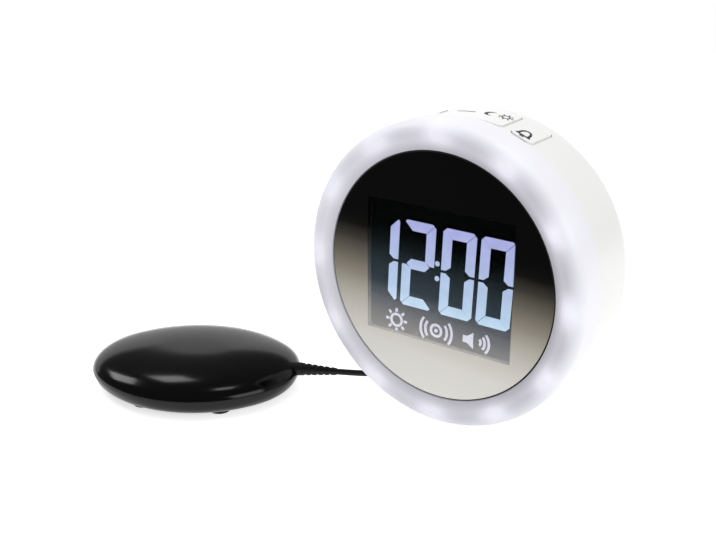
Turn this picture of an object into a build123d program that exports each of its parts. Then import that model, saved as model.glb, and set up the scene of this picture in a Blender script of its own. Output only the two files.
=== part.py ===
from build123d import *
import math
import os

# A bed shaker alarm clock: a round clock with a mirror dial and a lit ring, and a vibrating pad on
# a cord that plugs into its back. All lengths are in millimetres.
# The clock's pieces are drawn from the centre of the dial's front plane: X to the right, Y into the
# clock, Z up. The pad's pieces are drawn from the point on the table under the pad's middle, with X
# along its length towards the cord. The cord is drawn in the whole part's frame, whose origin lies on
# the table at the middle of the clock's foot.

# Driving sizes of the clock
dial_radius = 46.0
dial_thickness = 2.0
ring_width = 10.35
ring_crown = 1.9
ring_rear = 12.2
table_gap = 0.95
case_step = 1.85
case_depth = 46.5
case_round = 12.0
case_wall = 2.2
foot_front_gap = 1.8
foot_rear_gap = 6.5

# Driving sizes of the pad
pad_half_length = 41.1
pad_half_width = 33.4
pad_height = 16.0
pad_seam_height = 7.8
pad_wall = 1.8
pad_centre_x = -94.1
pad_centre_y = -53.4
pad_turn = 26.0

# Driving sizes of the cord
cord_diameter = 2.4
cord_sides = 8

# Clearances that several pieces share
fit_gap = 0.15
slide_gap = 0.35
screw_gap = 0.05
running_gap = 0.05
cut_overrun = 1.0

ring_radius = dial_radius + ring_width
case_radius = ring_radius - case_step
foot_front = ring_rear + foot_front_gap
foot_rear = case_depth - foot_rear_gap
foot_middle = (foot_front + foot_rear) / 2
foot_half_depth = (foot_rear - foot_front) / 2
dial_height = ring_radius + table_gap
quarter_turn = 90
half_turn = 180
full_turn = 360
from_low_end = (Align.CENTER, Align.CENTER, Align.MIN)


def bar(radius, front, rear, x=0, z=0):
    """A round bar along Y, from one depth to another."""
    length = rear - front
    return Pos(x, front, z) * Rot(-quarter_turn, 0, 0) * Cylinder(radius, length, align=from_low_end)


def sleeve(outer, inner, front, rear, x=0, z=0):
    """A round tube along Y."""
    bore = bar(inner, front - cut_overrun, rear + cut_overrun, x, z)
    return bar(outer, front, rear, x, z) - bore


def post(radius, low, high, x=0, y=0):
    """A round bar along Z."""
    return Pos(x, y, low) * Cylinder(radius, high - low, align=from_low_end)


def block(x_low, x_high, y_low, y_high, z_low, z_high):
    """A box between two corners."""
    size = Box(x_high - x_low, y_high - y_low, z_high - z_low)
    return Pos((x_low + x_high) / 2, (y_low + y_high) / 2, (z_low + z_high) / 2) * size


def slab(half_width, half_height, corner, front, rear, x=0, z=0):
    """A plate across Y with rounded corners."""
    outline = RectangleRounded(2 * half_width, 2 * half_height, corner)
    return Pos(x, rear, z) * Rot(quarter_turn, 0, 0) * extrude(outline, rear - front)


def on_circle(radius, angle):
    """X and Z of a point on a circle about the dial's axis."""
    turned = math.radians(angle)
    return radius * math.cos(turned), radius * math.sin(turned)


def group(pieces):
    """Separate solids that share a node."""
    solids = []
    for piece in pieces:
        solids.extend(piece.solids())
    return Compound(children=solids)


# Light ring: a clear moulded channel round the dial, with a shelf that the dial is bonded to
ring_round = 4.75
ring_wall = 2.0
ring_lip_rise = 0.3
shelf_reach = 2.65
shelf_thickness = 1.8
gasket_thickness = 0.5
dial_edge_break = 0.4
channel_recess = 2.0
spigot_overlap = 2.5

crown_radius = ring_radius - ring_round
ring_bore = dial_radius + fit_gap
shelf_front = dial_thickness + gasket_thickness
shelf_rear = shelf_front + shelf_thickness
shelf_bore = ring_bore - shelf_reach
channel_rear = ring_rear - channel_recess
channel_inner = ring_bore + ring_wall
channel_outer = ring_radius - ring_wall


def light_ring():
    crown = (crown_radius, -ring_crown)
    side = (ring_radius, ring_round - ring_crown)
    lip = (ring_bore, -ring_lip_rise)
    roof = (crown_radius, ring_wall - ring_crown)
    roof_side = (channel_outer, ring_round - ring_crown)
    roof_end = (channel_inner, ring_wall - ring_crown)
    edges = [
        TangentArc(crown, side, tangent=(1, 0)),
        Polyline(side, (ring_radius, ring_rear), (channel_outer, ring_rear), roof_side),
        TangentArc(roof, roof_side, tangent=(1, 0)),
        Polyline(
            roof,
            roof_end,
            (channel_inner, channel_rear),
            (ring_bore, channel_rear),
            (ring_bore, shelf_rear),
            (shelf_bore, shelf_rear),
            (shelf_bore, shelf_front),
            (ring_bore, shelf_front),
            lip,
        ),
        TangentArc(crown, lip, tangent=(-1, 0)),
    ]
    return revolve(make_face(edges), Axis.Y)


def dial_lens():
    disc = bar(dial_radius, 0, dial_thickness)
    return chamfer(disc.edges().group_by(Axis.Y)[0], dial_edge_break)


def lens_gasket():
    return sleeve(dial_radius - fit_gap, shelf_bore + fit_gap, dial_thickness, shelf_front)


# Front frame: the moulded plate behind the dial that carries the ring, the display and the boards
frame_thickness = 2.0
frame_gap = 0.5
frame_lip = 2.0
frame_lip_depth = 2.8
led_board_spacer = 1.2
led_board_thickness = 1.0
screw_boss_radius = 3.5
screw_boss_height = 6.8
screw_radius = 1.5
screw_head_radius = 2.8
screw_head_height = 2.0
screw_tip_gap = 1.2
case_screw_inset = 13.3
case_screw_angles = (51, 129, 245, 295)

frame_radius = case_radius - case_wall - frame_gap
frame_rear = channel_rear + frame_thickness
led_board_rear = channel_rear - led_board_spacer
led_board_front = led_board_rear - led_board_thickness
screw_boss_rear = frame_rear + screw_boss_height
screw_end = frame_rear + screw_tip_gap
case_screw_circle = frame_radius - case_screw_inset

# Display: a glass cell in a black holder, its lit figures, a diffuser and rubber contact strips
window_half_width = 30.2
window_half_height = 25.5
holder_lip = 0.5
holder_wall = 1.6
holder_corner = 2.0
holder_flange = 1.2
holder_flange_thickness = 1.0
glass_margin = 1.0
glass_thickness = 2.2
glass_front_gap = 0.7
figure_thickness = 0.2
diffuser_thickness = 2.0
diffuser_half_height = 23.4
diffuser_rib = 1.6
strip_height = 2.2
strip_end_gap = 2.0

glass_front = dial_thickness + glass_front_gap
glass_rear = glass_front + glass_thickness
glass_half_width = window_half_width + glass_margin
glass_half_height = window_half_height + glass_margin
holder_front = glass_front - holder_lip
holder_rear = frame_rear + holder_flange_thickness
holder_half_width = glass_half_width + fit_gap + holder_wall
holder_half_height = glass_half_height + fit_gap + holder_wall
diffuser_rear = glass_rear + diffuser_thickness

# Main board, right behind the display
main_board_side_gap = 12.8
main_board_half_height = 27.0
board_thickness = 1.6
board_corner = 1.5
board_post_radius = 2.2
board_post_side_inset = 2.3
board_post_end_inset = 9.0
board_screw_radius = 1.0
board_screw_head = 1.9
board_screw_head_height = 1.4
board_screw_length = 4.0

main_board_half_width = frame_radius - main_board_side_gap
board_post_x = main_board_half_width - board_post_side_inset
board_post_z = main_board_half_height - board_post_end_inset
main_board_front = holder_rear
main_board_rear = main_board_front + board_thickness


def case_screw_places():
    return [on_circle(case_screw_circle, angle) for angle in case_screw_angles]


def main_post_places():
    return [(x, z) for x in (-board_post_x, board_post_x) for z in (-board_post_z, board_post_z)]


def front_frame():
    frame = bar(frame_radius, channel_rear, frame_rear)
    frame += sleeve(frame_radius, channel_inner + fit_gap, led_board_rear, channel_rear)
    frame += sleeve(frame_radius, frame_radius - frame_lip, frame_rear, frame_rear + frame_lip_depth)
    for x, z in case_screw_places():
        frame += bar(screw_boss_radius, frame_rear, screw_boss_rear, x, z)
    for x, z in main_post_places():
        frame += bar(board_post_radius, frame_rear, main_board_front, x, z)
    frame -= slab(
        holder_half_width + fit_gap,
        holder_half_height + fit_gap,
        holder_corner,
        channel_rear - cut_overrun,
        frame_rear + cut_overrun,
    )
    for x, z in case_screw_places():
        frame -= bar(screw_radius + screw_gap, screw_end - cut_overrun, screw_boss_rear + cut_overrun, x, z)
    for x, z in main_post_places():
        tip = main_board_rear - board_screw_length
        frame -= bar(board_screw_radius + screw_gap, tip - fit_gap, main_board_front + cut_overrun, x, z)
    return frame


# Light board: a ring of circuit board under the channel, with one lamp at each hour
led_count = 12
led_height = 1.6
led_along = 3.5
led_across = 2.8


def led_board():
    return sleeve(channel_outer - fit_gap, channel_inner + fit_gap, led_board_front, led_board_rear)


def ring_leds():
    middle = (channel_inner + channel_outer) / 2
    lamp = block(
        middle - led_across / 2,
        middle + led_across / 2,
        led_board_front - led_height,
        led_board_front,
        -led_along / 2,
        led_along / 2,
    )
    return group([Rot(0, full_turn * hour / led_count, 0) * lamp for hour in range(led_count)])


def lcd_holder():
    holder = slab(holder_half_width, holder_half_height, holder_corner, holder_front, holder_rear)
    holder += slab(
        holder_half_width + holder_flange,
        holder_half_height,
        holder_corner,
        frame_rear,
        holder_rear,
    )
    inner_half_width = glass_half_width + fit_gap
    inner_half_height = glass_half_height + fit_gap
    holder -= block(
        -inner_half_width,
        inner_half_width,
        glass_front,
        holder_rear + cut_overrun,
        -inner_half_height,
        inner_half_height,
    )
    holder -= block(
        -window_half_width,
        window_half_width,
        holder_front - cut_overrun,
        holder_rear,
        -window_half_height,
        window_half_height,
    )
    for side in (-1, 1):
        outer = side * inner_half_width
        inner = side * (inner_half_width - diffuser_rib)
        low, high = min(outer, inner), max(outer, inner)
        holder += block(low, high, diffuser_rear, holder_rear, -diffuser_half_height, diffuser_half_height)
    return holder


def lcd_glass():
    return block(
        -glass_half_width,
        glass_half_width,
        glass_front,
        glass_rear,
        -glass_half_height,
        glass_half_height,
    )


# Figures of the display: seven-segment digits with chamfered ends
digit_width = 13.3
digit_height = 32.8
digit_low = -13.1
digit_pitch = 15.35
segment_width = 3.7
segment_gap = 0.35
colon_x = -0.2
colon_radius = 0.75
colon_heights = (0.4, 6.4)
shown_digits = ("bc", "abged", "abcdef", "abcdef")


def figure(points):
    """A flat figure of the display, from its outline in X and Z."""
    outline = make_face(Polyline(*[(x, glass_front, z) for x, z in points], close=True))
    return extrude(outline, figure_thickness, dir=(0, -1, 0))


def segments(left, low):
    """The seven segments of one digit, by letter."""
    right = left + digit_width
    high = low + digit_height
    middle = (low + high) / 2
    half = segment_width / 2
    nick = segment_gap / 2
    inset = segment_width

    def lower_upright(outer, inner):
        corner = (outer + inner) / 2
        return [
            (outer, low + half),
            (inner, low + inset + nick),
            (inner, middle - half - nick),
            (corner, middle - nick),
            (outer, middle - nick),
        ]

    def upper_upright(outer, inner):
        corner = (outer + inner) / 2
        return [
            (outer, high - half),
            (inner, high - inset - nick),
            (inner, middle + half + nick),
            (corner, middle + nick),
            (outer, middle + nick),
        ]

    return {
        "a": [
            (left + half, high),
            (right - half, high),
            (right - inset - nick, high - inset),
            (left + inset + nick, high - inset),
        ],
        "b": upper_upright(right, right - inset),
        "c": lower_upright(right, right - inset),
        "d": [
            (left + half, low),
            (right - half, low),
            (right - inset - nick, low + inset),
            (left + inset + nick, low + inset),
        ],
        "e": lower_upright(left, left + inset),
        "f": upper_upright(left, left + inset),
        "g": [
            (left + half + nick, middle),
            (left + inset, middle + half),
            (right - inset, middle + half),
            (right - half - nick, middle),
            (right - inset, middle - half),
            (left + inset, middle - half),
        ],
    }


def lcd_digits():
    pieces = []
    first = -digit_pitch * (len(shown_digits) - 1) / 2 - digit_width / 2
    for place, letters in enumerate(shown_digits):
        outlines = segments(first + place * digit_pitch, digit_low)
        pieces.extend(figure(outlines[letter]) for letter in letters)
    for height in colon_heights:
        pieces.append(bar(colon_radius, glass_front - figure_thickness, glass_front, colon_x, height))
    return group(pieces)


# Icons under the digits: a lamp, a shaking pad and a speaker
icon_middle = -20.4
icon_line = 0.8
lamp_icon_x = -18.0
lamp_icon_radius = 1.9
lamp_ray_count = 8
lamp_ray_inner = 2.5
lamp_ray_outer = 3.5
pad_icon_x = -0.3
pad_icon_half_width = 2.6
pad_icon_radius = 2.6
pad_wave_radii = (4.6, 6.3)
pad_wave_half_angle = 38
speaker_icon_x = 13.4
speaker_icon_box = 1.5
speaker_icon_half_height = 1.2
speaker_icon_horn = 2.4
speaker_icon_flare = 2.9
speaker_wave_radii = (2.4, 4.2, 6.0)
speaker_wave_half_angle = 42


def wave(x, radius, middle_angle, half_angle):
    """A curved stroke of an icon, part of a circle about its middle."""
    front = glass_front - figure_thickness
    stroke = sleeve(radius + icon_line / 2, radius - icon_line / 2, front, glass_front, x, icon_middle)
    reach = 2 * radius
    ends = [(x, icon_middle)]
    for turn in (middle_angle - half_angle, middle_angle + half_angle):
        step_x, step_z = on_circle(reach, turn)
        ends.append((x + step_x, icon_middle + step_z))
    wedge = make_face(Polyline(*[(px, glass_front + cut_overrun, pz) for px, pz in ends], close=True))
    return stroke & extrude(wedge, figure_thickness + 2 * cut_overrun, dir=(0, -1, 0))


def lcd_icons():
    front = glass_front - figure_thickness
    half_line = icon_line / 2
    lamp_bulb = lamp_icon_radius - icon_line
    pieces = [sleeve(lamp_icon_radius, lamp_bulb, front, glass_front, lamp_icon_x, icon_middle)]
    ray = block(lamp_ray_inner, lamp_ray_outer, front, glass_front, -half_line, half_line)
    for number in range(lamp_ray_count):
        turned = Rot(0, full_turn * number / lamp_ray_count, 0) * ray
        pieces.append(Pos(lamp_icon_x, 0, icon_middle) * turned)
    pad = sleeve(pad_icon_radius, pad_icon_radius - icon_line, front, glass_front, pad_icon_x, icon_middle)
    pieces.append(pad)
    pieces.append(bar(icon_line, front, glass_front, pad_icon_x, icon_middle))
    for radius in pad_wave_radii:
        for side in (0, half_turn):
            pieces.append(wave(pad_icon_x, radius, side, pad_wave_half_angle))
    horn_x = speaker_icon_x + speaker_icon_box
    horn = [
        (speaker_icon_x, icon_middle - speaker_icon_half_height),
        (horn_x, icon_middle - speaker_icon_half_height),
        (horn_x + speaker_icon_horn, icon_middle - speaker_icon_flare),
        (horn_x + speaker_icon_horn, icon_middle + speaker_icon_flare),
        (horn_x, icon_middle + speaker_icon_half_height),
        (speaker_icon_x, icon_middle + speaker_icon_half_height),
    ]
    pieces.append(figure(horn))
    for radius in speaker_wave_radii:
        pieces.append(wave(horn_x + icon_line, radius + icon_line, 0, speaker_wave_half_angle))
    return group(pieces)


def backlight_diffuser():
    half_width = glass_half_width - fit_gap
    return block(
        -half_width,
        half_width,
        glass_rear,
        diffuser_rear,
        -diffuser_half_height,
        diffuser_half_height,
    )


def elastomer_strips():
    half_width = glass_half_width - strip_end_gap
    low = glass_half_height - fit_gap - strip_height
    high = glass_half_height - fit_gap
    lower = block(-half_width, half_width, glass_rear, holder_rear, -high, -low)
    upper = block(-half_width, half_width, glass_rear, holder_rear, low, high)
    return group([lower, upper])


def main_board():
    board = slab(
        main_board_half_width,
        main_board_half_height,
        board_corner,
        main_board_front,
        main_board_rear,
    )
    front = main_board_front - cut_overrun
    rear = main_board_rear + cut_overrun
    for x, z in case_screw_places():
        board -= bar(screw_boss_radius + slide_gap, front, rear, x, z)
    for x, z in main_post_places():
        board -= bar(board_screw_radius + fit_gap, front, rear, x, z)
    return board


# Parts on the main board: lamps for the display in front, and a chip, a crystal, capacitors and a
# regulator behind
chip_size = 12.0
chip_height = 1.6
chip_x = 3.0
chip_z = 4.0
crystal_length = 8.0
crystal_width = 3.2
crystal_height = 2.6
crystal_z = 15.0
capacitor_radius = 3.15
capacitor_height = 7.0
capacitor_places = ((-26, 10), (-26, -2), (-18, -14))
regulator_width = 6.5
regulator_height = 2.2
regulator_x = 24.0
regulator_z = 8.0
backlight_led_size = 3.0
backlight_led_height = 1.2
backlight_columns = 4
backlight_rows = 2
backlight_pitch_x = 14.0
backlight_pitch_z = 20.0


def main_board_parts():
    rear = main_board_rear
    half_chip = chip_size / 2
    half_regulator = regulator_width / 2
    pieces = [
        block(
            chip_x - half_chip,
            chip_x + half_chip,
            rear,
            rear + chip_height,
            chip_z - half_chip,
            chip_z + half_chip,
        ),
        block(
            chip_x - crystal_length / 2,
            chip_x + crystal_length / 2,
            rear,
            rear + crystal_height,
            crystal_z - crystal_width / 2,
            crystal_z + crystal_width / 2,
        ),
        block(
            regulator_x - half_regulator,
            regulator_x + half_regulator,
            rear,
            rear + regulator_height,
            regulator_z - half_regulator,
            regulator_z + half_regulator,
        ),
    ]
    for x, z in capacitor_places:
        pieces.append(bar(capacitor_radius, rear, rear + capacitor_height, x, z))
    half_led = backlight_led_size / 2
    for column in range(backlight_columns):
        x = (column - (backlight_columns - 1) / 2) * backlight_pitch_x
        for row in range(backlight_rows):
            z = (row - (backlight_rows - 1) / 2) * backlight_pitch_z
            pieces.append(
                block(
                    x - half_led,
                    x + half_led,
                    main_board_front - backlight_led_height,
                    main_board_front,
                    z - half_led,
                    z + half_led,
                )
            )
    return group(pieces)


# Places on the back: speaker above, knobs beside it, a row of keys, the battery door between the
# two sockets
speaker_radius = 18.0
speaker_z = 20.0
knob_x = 29.0
knob_z = 14.0
key_row_z = -5.0
key_places = (-30.0, -18.0, 18.0, 30.0)
battery_z = -27.0
socket_x = 26.0
socket_z = -24.0

# Rear board and the switches, pots and posts on it
rear_board_well_gap = 0.65
rear_board_inset = 6.3
rear_board_rise = 4.0
speaker_notch_step = 2.0
column_gap = 0.4
rear_post_radius = 2.75
upper_post_inset = 7.0
upper_post_z = 3.0
lower_post_inset = 8.0
lower_post_z = -14.0
switch_half = 3.0
switch_height = 3.5
switch_bore_depth = 2.6
plunger_radius = 1.6
plunger_reach = 1.6
pot_half = 6.0
pot_height = 5.0
spindle_radius = 2.0
mode_switch_half_length = 8.5
mode_switch_half_height = 3.4
mode_switch_height = 4.0

case_inner_rear = case_depth - case_wall
case_inner_radius = case_radius - case_wall
rear_board_radius = case_inner_radius - rear_board_inset
rear_board_top = speaker_z + rear_board_rise
speaker_notch = speaker_radius - speaker_notch_step
upper_post_x = rear_board_radius - upper_post_inset
lower_post_x = rear_board_radius - lower_post_inset
rear_post_places = (
    (-upper_post_x, upper_post_z),
    (upper_post_x, upper_post_z),
    (-lower_post_x, lower_post_z),
    (lower_post_x, lower_post_z),
)

# Case screws sit near the surface of the back, at the ends of long columns
column_radius = 3.8
screw_recess_radius = 3.1
screw_recess_depth = 2.7

screw_seat = case_depth - screw_recess_depth

# Speaker grille: rounded slots that follow the speaker's circle
grille_inset = 3.0
slot_count = 7
outer_slot_inset = 3.0
slot_half_width = 0.8
slot_end_share = 0.99
speaker_rib_thickness = 1.4
speaker_rib_depth = 3.0

grille_radius = speaker_radius - grille_inset
slot_pitch = 2 * (grille_radius - outer_slot_inset) / (slot_count - 1)

# Battery well with a twist-lock door
door_radius = 12.0
door_thickness = 2.1
door_recess = 0.2
lug_reach = 1.1
lug_thickness = 0.9
lug_half_angle = 18
lug_play_angle = 3
door_twist = 40
well_wall = 1.7
cell_radius = 10.0
cell_height = 3.2
cell_play = 0.35
contact_thickness = 0.4
well_floor = 1.5

door_rear = case_depth - door_recess
door_front = door_rear - door_thickness
lug_front = door_front
lug_rear = lug_front + lug_thickness
groove_radius = door_radius + slide_gap + lug_reach
well_radius = groove_radius + well_wall
cell_rear = door_front - slide_gap
cell_front = cell_rear - cell_height
contact_front = cell_front - contact_thickness
well_front = contact_front - well_floor
rear_board_rear = well_front - rear_board_well_gap
rear_board_front = rear_board_rear - board_thickness

# Keys on the back
rear_key_radius = 3.5
rear_key_proud = 1.5
rear_flange_reach = 1.2
rear_flange_thickness = 1.0

# Keys on top: the wide snooze bar and a small key on each side of it
top_key_front_gap = 4.3
top_key_rear_gap = 1.0
snooze_half_width = 13.3
side_key_gap = 3.7
side_key_width = 8.0
top_key_proud = 0.5
top_key_corner = 2.2
top_flange_reach = 1.2
top_flange_thickness = 1.3
top_flange_gap = 0.3

top_key_front = ring_rear + top_key_front_gap
top_key_rear = case_depth - case_round - top_key_rear_gap
side_key_inner = snooze_half_width + side_key_gap
side_key_outer = side_key_inner + side_key_width

# Top board on two ledges inside the case
top_board_drop = 12.8
top_board_reach = 4.2
top_board_front_inset = 1.0
top_board_rear_inset = 0.5
ledge_thickness = 3.0
ledge_reach = 3.7
top_screw_inset = 1.8
side_switch_inset = 4.1

top_board_top = case_inner_radius - top_board_drop
top_board_half_width = side_key_outer + top_board_reach
top_board_front = top_key_front + top_board_front_inset
top_board_rear = top_key_rear - top_board_rear_inset
ledge_inner = top_board_half_width - ledge_reach
top_screw_x = top_board_half_width - top_screw_inset
side_switch_x = side_key_outer - side_switch_inset
top_switch_xs = (-side_switch_x, 0, side_switch_x)
top_board_low = top_board_top - board_thickness
top_key_middle = (top_key_front + top_key_rear) / 2

# Mode lever, sockets and foot
lever_half_length = 2.0
lever_half_height = 1.8
lever_travel = 3.0
lever_proud = 1.7
knob_hole_gap = 0.4
inlet_half_width = 4.5
inlet_half_height = 5.0
inlet_depth = 12.8
inlet_bore = 2.9
inlet_mouth = 3.6
inlet_pin_radius = 1.0
jack_half = 4.2
jack_nose_radius = 3.0
foot_half_width = 20.0
foot_corner = 5.0
foot_pad_thickness = 1.0
foot_pad_inset = 1.0
foot_flare = 1.5


def case_body():
    """The cup of the case, with its rounded rear edge and the spigot that the light ring slips over."""
    spigot_front = ring_rear - spigot_overlap
    spigot_radius = channel_outer - fit_gap
    round_front = case_depth - case_round
    flat_radius = case_radius - case_round
    outer_side = (case_radius, round_front)
    outer_flat = (flat_radius, case_depth)
    inner_side = (case_inner_radius, round_front)
    inner_flat = (flat_radius, case_inner_rear)
    edges = [
        Polyline(
            (case_inner_radius, spigot_front),
            (spigot_radius, spigot_front),
            (spigot_radius, ring_rear),
            (case_radius, ring_rear),
            outer_side,
        ),
        TangentArc(outer_side, outer_flat, tangent=(0, 1)),
        Polyline(outer_flat, (0, case_depth), (0, case_inner_rear), inner_flat),
        TangentArc(inner_side, inner_flat, tangent=(0, 1)),
        Line(inner_side, (case_inner_radius, spigot_front)),
    ]
    return revolve(make_face(edges), Axis.Y)


def foot_block():
    """The plinth under the drum, slightly wider at the table."""
    plinth_low = -dial_height + foot_pad_thickness
    base = RectangleRounded(2 * foot_half_width, 2 * foot_half_depth, foot_corner)
    narrow = RectangleRounded(
        2 * (foot_half_width - foot_flare),
        2 * (foot_half_depth - foot_flare),
        foot_corner,
    )
    rise = dial_height - case_radius + case_wall + case_round
    low = Pos(0, foot_middle, plinth_low) * base
    high = Pos(0, foot_middle, plinth_low + rise) * narrow
    return loft([low, high]) - bar(case_radius - case_wall / 2, 0, case_depth)


def sector(radius, front, rear, middle_angle, half_angle, z=0):
    """A slice of a round bar, between two angles about its own axis."""
    reach = 2 * radius
    corners = [(0, front, 0)]
    for turn in (middle_angle - half_angle, middle_angle + half_angle):
        x, up = on_circle(reach, turn)
        corners.append((x, front, up))
    wedge = extrude(make_face(Polyline(*corners, close=True)), rear - front, dir=(0, 1, 0))
    return Pos(0, 0, z) * (bar(radius, front, rear) & wedge)


def battery_well_cuts():
    """What is cut from the case for the door, its lugs and the cell."""
    cuts = [
        bar(door_radius + slide_gap, lug_front, case_depth + cut_overrun, 0, battery_z),
        bar(cell_radius + cell_play, contact_front, lug_front + cut_overrun, 0, battery_z),
    ]
    for side in (0, half_turn):
        span = lug_half_angle + lug_play_angle + door_twist / 2
        middle = side - door_twist / 2
        cuts.append(
            sector(groove_radius, lug_front, lug_rear + slide_gap, middle, span, battery_z)
        )
        entry = side - door_twist
        half_entry = lug_half_angle + lug_play_angle
        cuts.append(
            sector(groove_radius, lug_front, case_depth + cut_overrun, entry, half_entry, battery_z)
        )
    return cuts


def grille_slots():
    slots = []
    for number in range(slot_count):
        height = (number - (slot_count - 1) / 2) * slot_pitch
        half_length = math.sqrt(grille_radius**2 - height**2) - slot_half_width
        slots.append(
            slab(
                half_length,
                slot_half_width,
                slot_half_width * slot_end_share,
                case_inner_rear - cut_overrun,
                case_depth + cut_overrun,
                0,
                speaker_z + height,
            )
        )
    return slots


def top_key_prism(x_low, x_high, grow):
    """The upright prism of a key's outline, grown on all sides."""
    width = x_high - x_low + 2 * grow
    depth = top_key_rear - top_key_front + 2 * grow
    outline = RectangleRounded(width, depth, top_key_corner + grow)
    middle = (x_low + x_high) / 2
    return Pos(middle, top_key_middle, 0) * extrude(outline, case_radius + 2 * top_key_proud + cut_overrun)


top_key_spans = {
    "snooze": (-snooze_half_width, snooze_half_width),
    "left": (-side_key_outer, -side_key_inner),
    "right": (side_key_inner, side_key_outer),
}


def rear_case():
    case = case_body() + foot_block()
    well = bar(well_radius, well_front, case_depth - case_wall / 2, 0, battery_z)
    case += well
    for x, z in case_screw_places():
        case += bar(column_radius, screw_boss_rear, case_inner_rear + case_wall / 2, x, z)
    for x, z in rear_post_places:
        case += bar(rear_post_radius, rear_board_rear, case_inner_rear + case_wall / 2, x, z)
    rib_radius = speaker_radius + fit_gap
    case += sleeve(
        rib_radius + speaker_rib_thickness,
        rib_radius,
        case_inner_rear - speaker_rib_depth,
        case_inner_rear + case_wall / 2,
        0,
        speaker_z,
    )
    for side in (-1, 1):
        inner = side * ledge_inner
        outer = side * case_radius
        shelf = block(
            min(inner, outer),
            max(inner, outer),
            top_board_front + fit_gap,
            top_board_rear + fit_gap,
            top_board_low - ledge_thickness,
            top_board_low,
        )
        case += shelf & bar(case_radius - case_wall / 2, 0, case_depth)
    for cut in battery_well_cuts():
        case -= cut
    for slot in grille_slots():
        case -= slot
    for low, high in top_key_spans.values():
        case -= top_key_prism(low, high, slide_gap)
    for x, z in case_screw_places():
        case -= bar(screw_radius + fit_gap, screw_boss_rear - cut_overrun, case_depth, x, z)
        case -= bar(screw_recess_radius, screw_seat, case_depth + cut_overrun, x, z)
    for x, z in rear_post_places:
        tip = rear_board_front + board_screw_length
        case -= bar(board_screw_radius + screw_gap, rear_board_rear - cut_overrun, tip + fit_gap, x, z)
    for side in (-1, 1):
        tip = top_board_top - board_screw_length
        case -= post(
            board_screw_radius + screw_gap,
            tip - fit_gap,
            top_board_low + cut_overrun,
            side * top_screw_x,
            top_key_middle,
        )
        case -= bar(
            spindle_radius + knob_hole_gap,
            case_inner_rear - cut_overrun,
            case_depth + cut_overrun,
            side * knob_x,
            knob_z,
        )
    for x in key_places:
        hole = rear_key_radius + slide_gap
        case -= bar(hole, case_inner_rear - cut_overrun, case_depth + cut_overrun, x, key_row_z)
    case -= slab(
        lever_half_length + lever_travel + slide_gap,
        lever_half_height + slide_gap,
        slide_gap,
        case_inner_rear - cut_overrun,
        case_depth + cut_overrun,
        0,
        key_row_z,
    )
    case -= bar(inlet_mouth, case_inner_rear - cut_overrun, case_depth + cut_overrun, socket_x, socket_z)
    nose_hole = jack_nose_radius + fit_gap
    case -= bar(nose_hole, case_inner_rear - cut_overrun, case_depth + cut_overrun, -socket_x, socket_z)
    return case


def foot_pad():
    sole = RectangleRounded(
        2 * (foot_half_width - foot_pad_inset),
        2 * (foot_half_depth - foot_pad_inset),
        foot_corner,
    )
    return Pos(0, foot_middle, -dial_height) * extrude(sole, foot_pad_thickness)


def case_screws():
    screws = []
    for x, z in case_screw_places():
        shank = bar(screw_radius, screw_end, screw_seat, x, z)
        head = bar(screw_head_radius, screw_seat, screw_seat + screw_head_height, x, z)
        screws.append(shank + head)
    return group(screws)


def board_screws():
    """The small screws of the three boards, all alike."""
    screws = []
    for x, z in main_post_places():
        shank = bar(board_screw_radius, main_board_rear - board_screw_length, main_board_rear, x, z)
        head = bar(board_screw_head, main_board_rear, main_board_rear + board_screw_head_height, x, z)
        screws.append(shank + head)
    for x, z in rear_post_places:
        shank = bar(board_screw_radius, rear_board_front, rear_board_front + board_screw_length, x, z)
        head = bar(board_screw_head, rear_board_front - board_screw_head_height, rear_board_front, x, z)
        screws.append(shank + head)
    for side in (-1, 1):
        x = side * top_screw_x
        low = top_board_top - board_screw_length
        shank = post(board_screw_radius, low, top_board_top, x, top_key_middle)
        head_top = top_board_top + board_screw_head_height
        head = post(board_screw_head, top_board_top, head_top, x, top_key_middle)
        screws.append(shank + head)
    return group(screws)


def rear_board():
    board = bar(rear_board_radius, rear_board_front, rear_board_rear)
    front = rear_board_front - cut_overrun
    rear = rear_board_rear + cut_overrun
    reach = rear_board_radius + cut_overrun
    board -= block(-reach, reach, front, rear, rear_board_top, reach)
    board -= bar(speaker_notch, front, rear, 0, speaker_z)
    for x, z in case_screw_places():
        board -= bar(column_radius + column_gap, front, rear, x, z)
    for x, z in rear_post_places:
        board -= bar(board_screw_radius + fit_gap, front, rear, x, z)
    for side, half_width, half_height in (
        (1, inlet_half_width, inlet_half_height),
        (-1, jack_half, jack_half),
    ):
        board -= block(
            side * socket_x - half_width - fit_gap,
            side * socket_x + half_width + fit_gap,
            front,
            rear,
            socket_z - half_height - fit_gap,
            socket_z + half_height + fit_gap,
        )
    return board


def rear_switches():
    """Push switches under the four keys; each key's own stem is the plunger in the bore."""
    front = rear_board_rear
    rear = front + switch_height
    housings = []
    for x in key_places:
        housing = block(
            x - switch_half,
            x + switch_half,
            front,
            rear,
            key_row_z - switch_half,
            key_row_z + switch_half,
        )
        bore = bar(plunger_radius + running_gap, rear - switch_bore_depth, rear + cut_overrun, x, key_row_z)
        housings.append(housing - bore)
    return group(housings)


def control_pots():
    """The volume and tone pots, each with a bore for its knob's spindle."""
    front = rear_board_rear
    rear = front + pot_height
    pots = []
    for side in (-1, 1):
        x = side * knob_x
        body = block(x - pot_half, x + pot_half, front, rear, knob_z - pot_half, knob_z + pot_half)
        bore = bar(spindle_radius + running_gap, front + board_thickness, rear + cut_overrun, x, knob_z)
        pots.append(body - bore)
    return group(pots)


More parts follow.
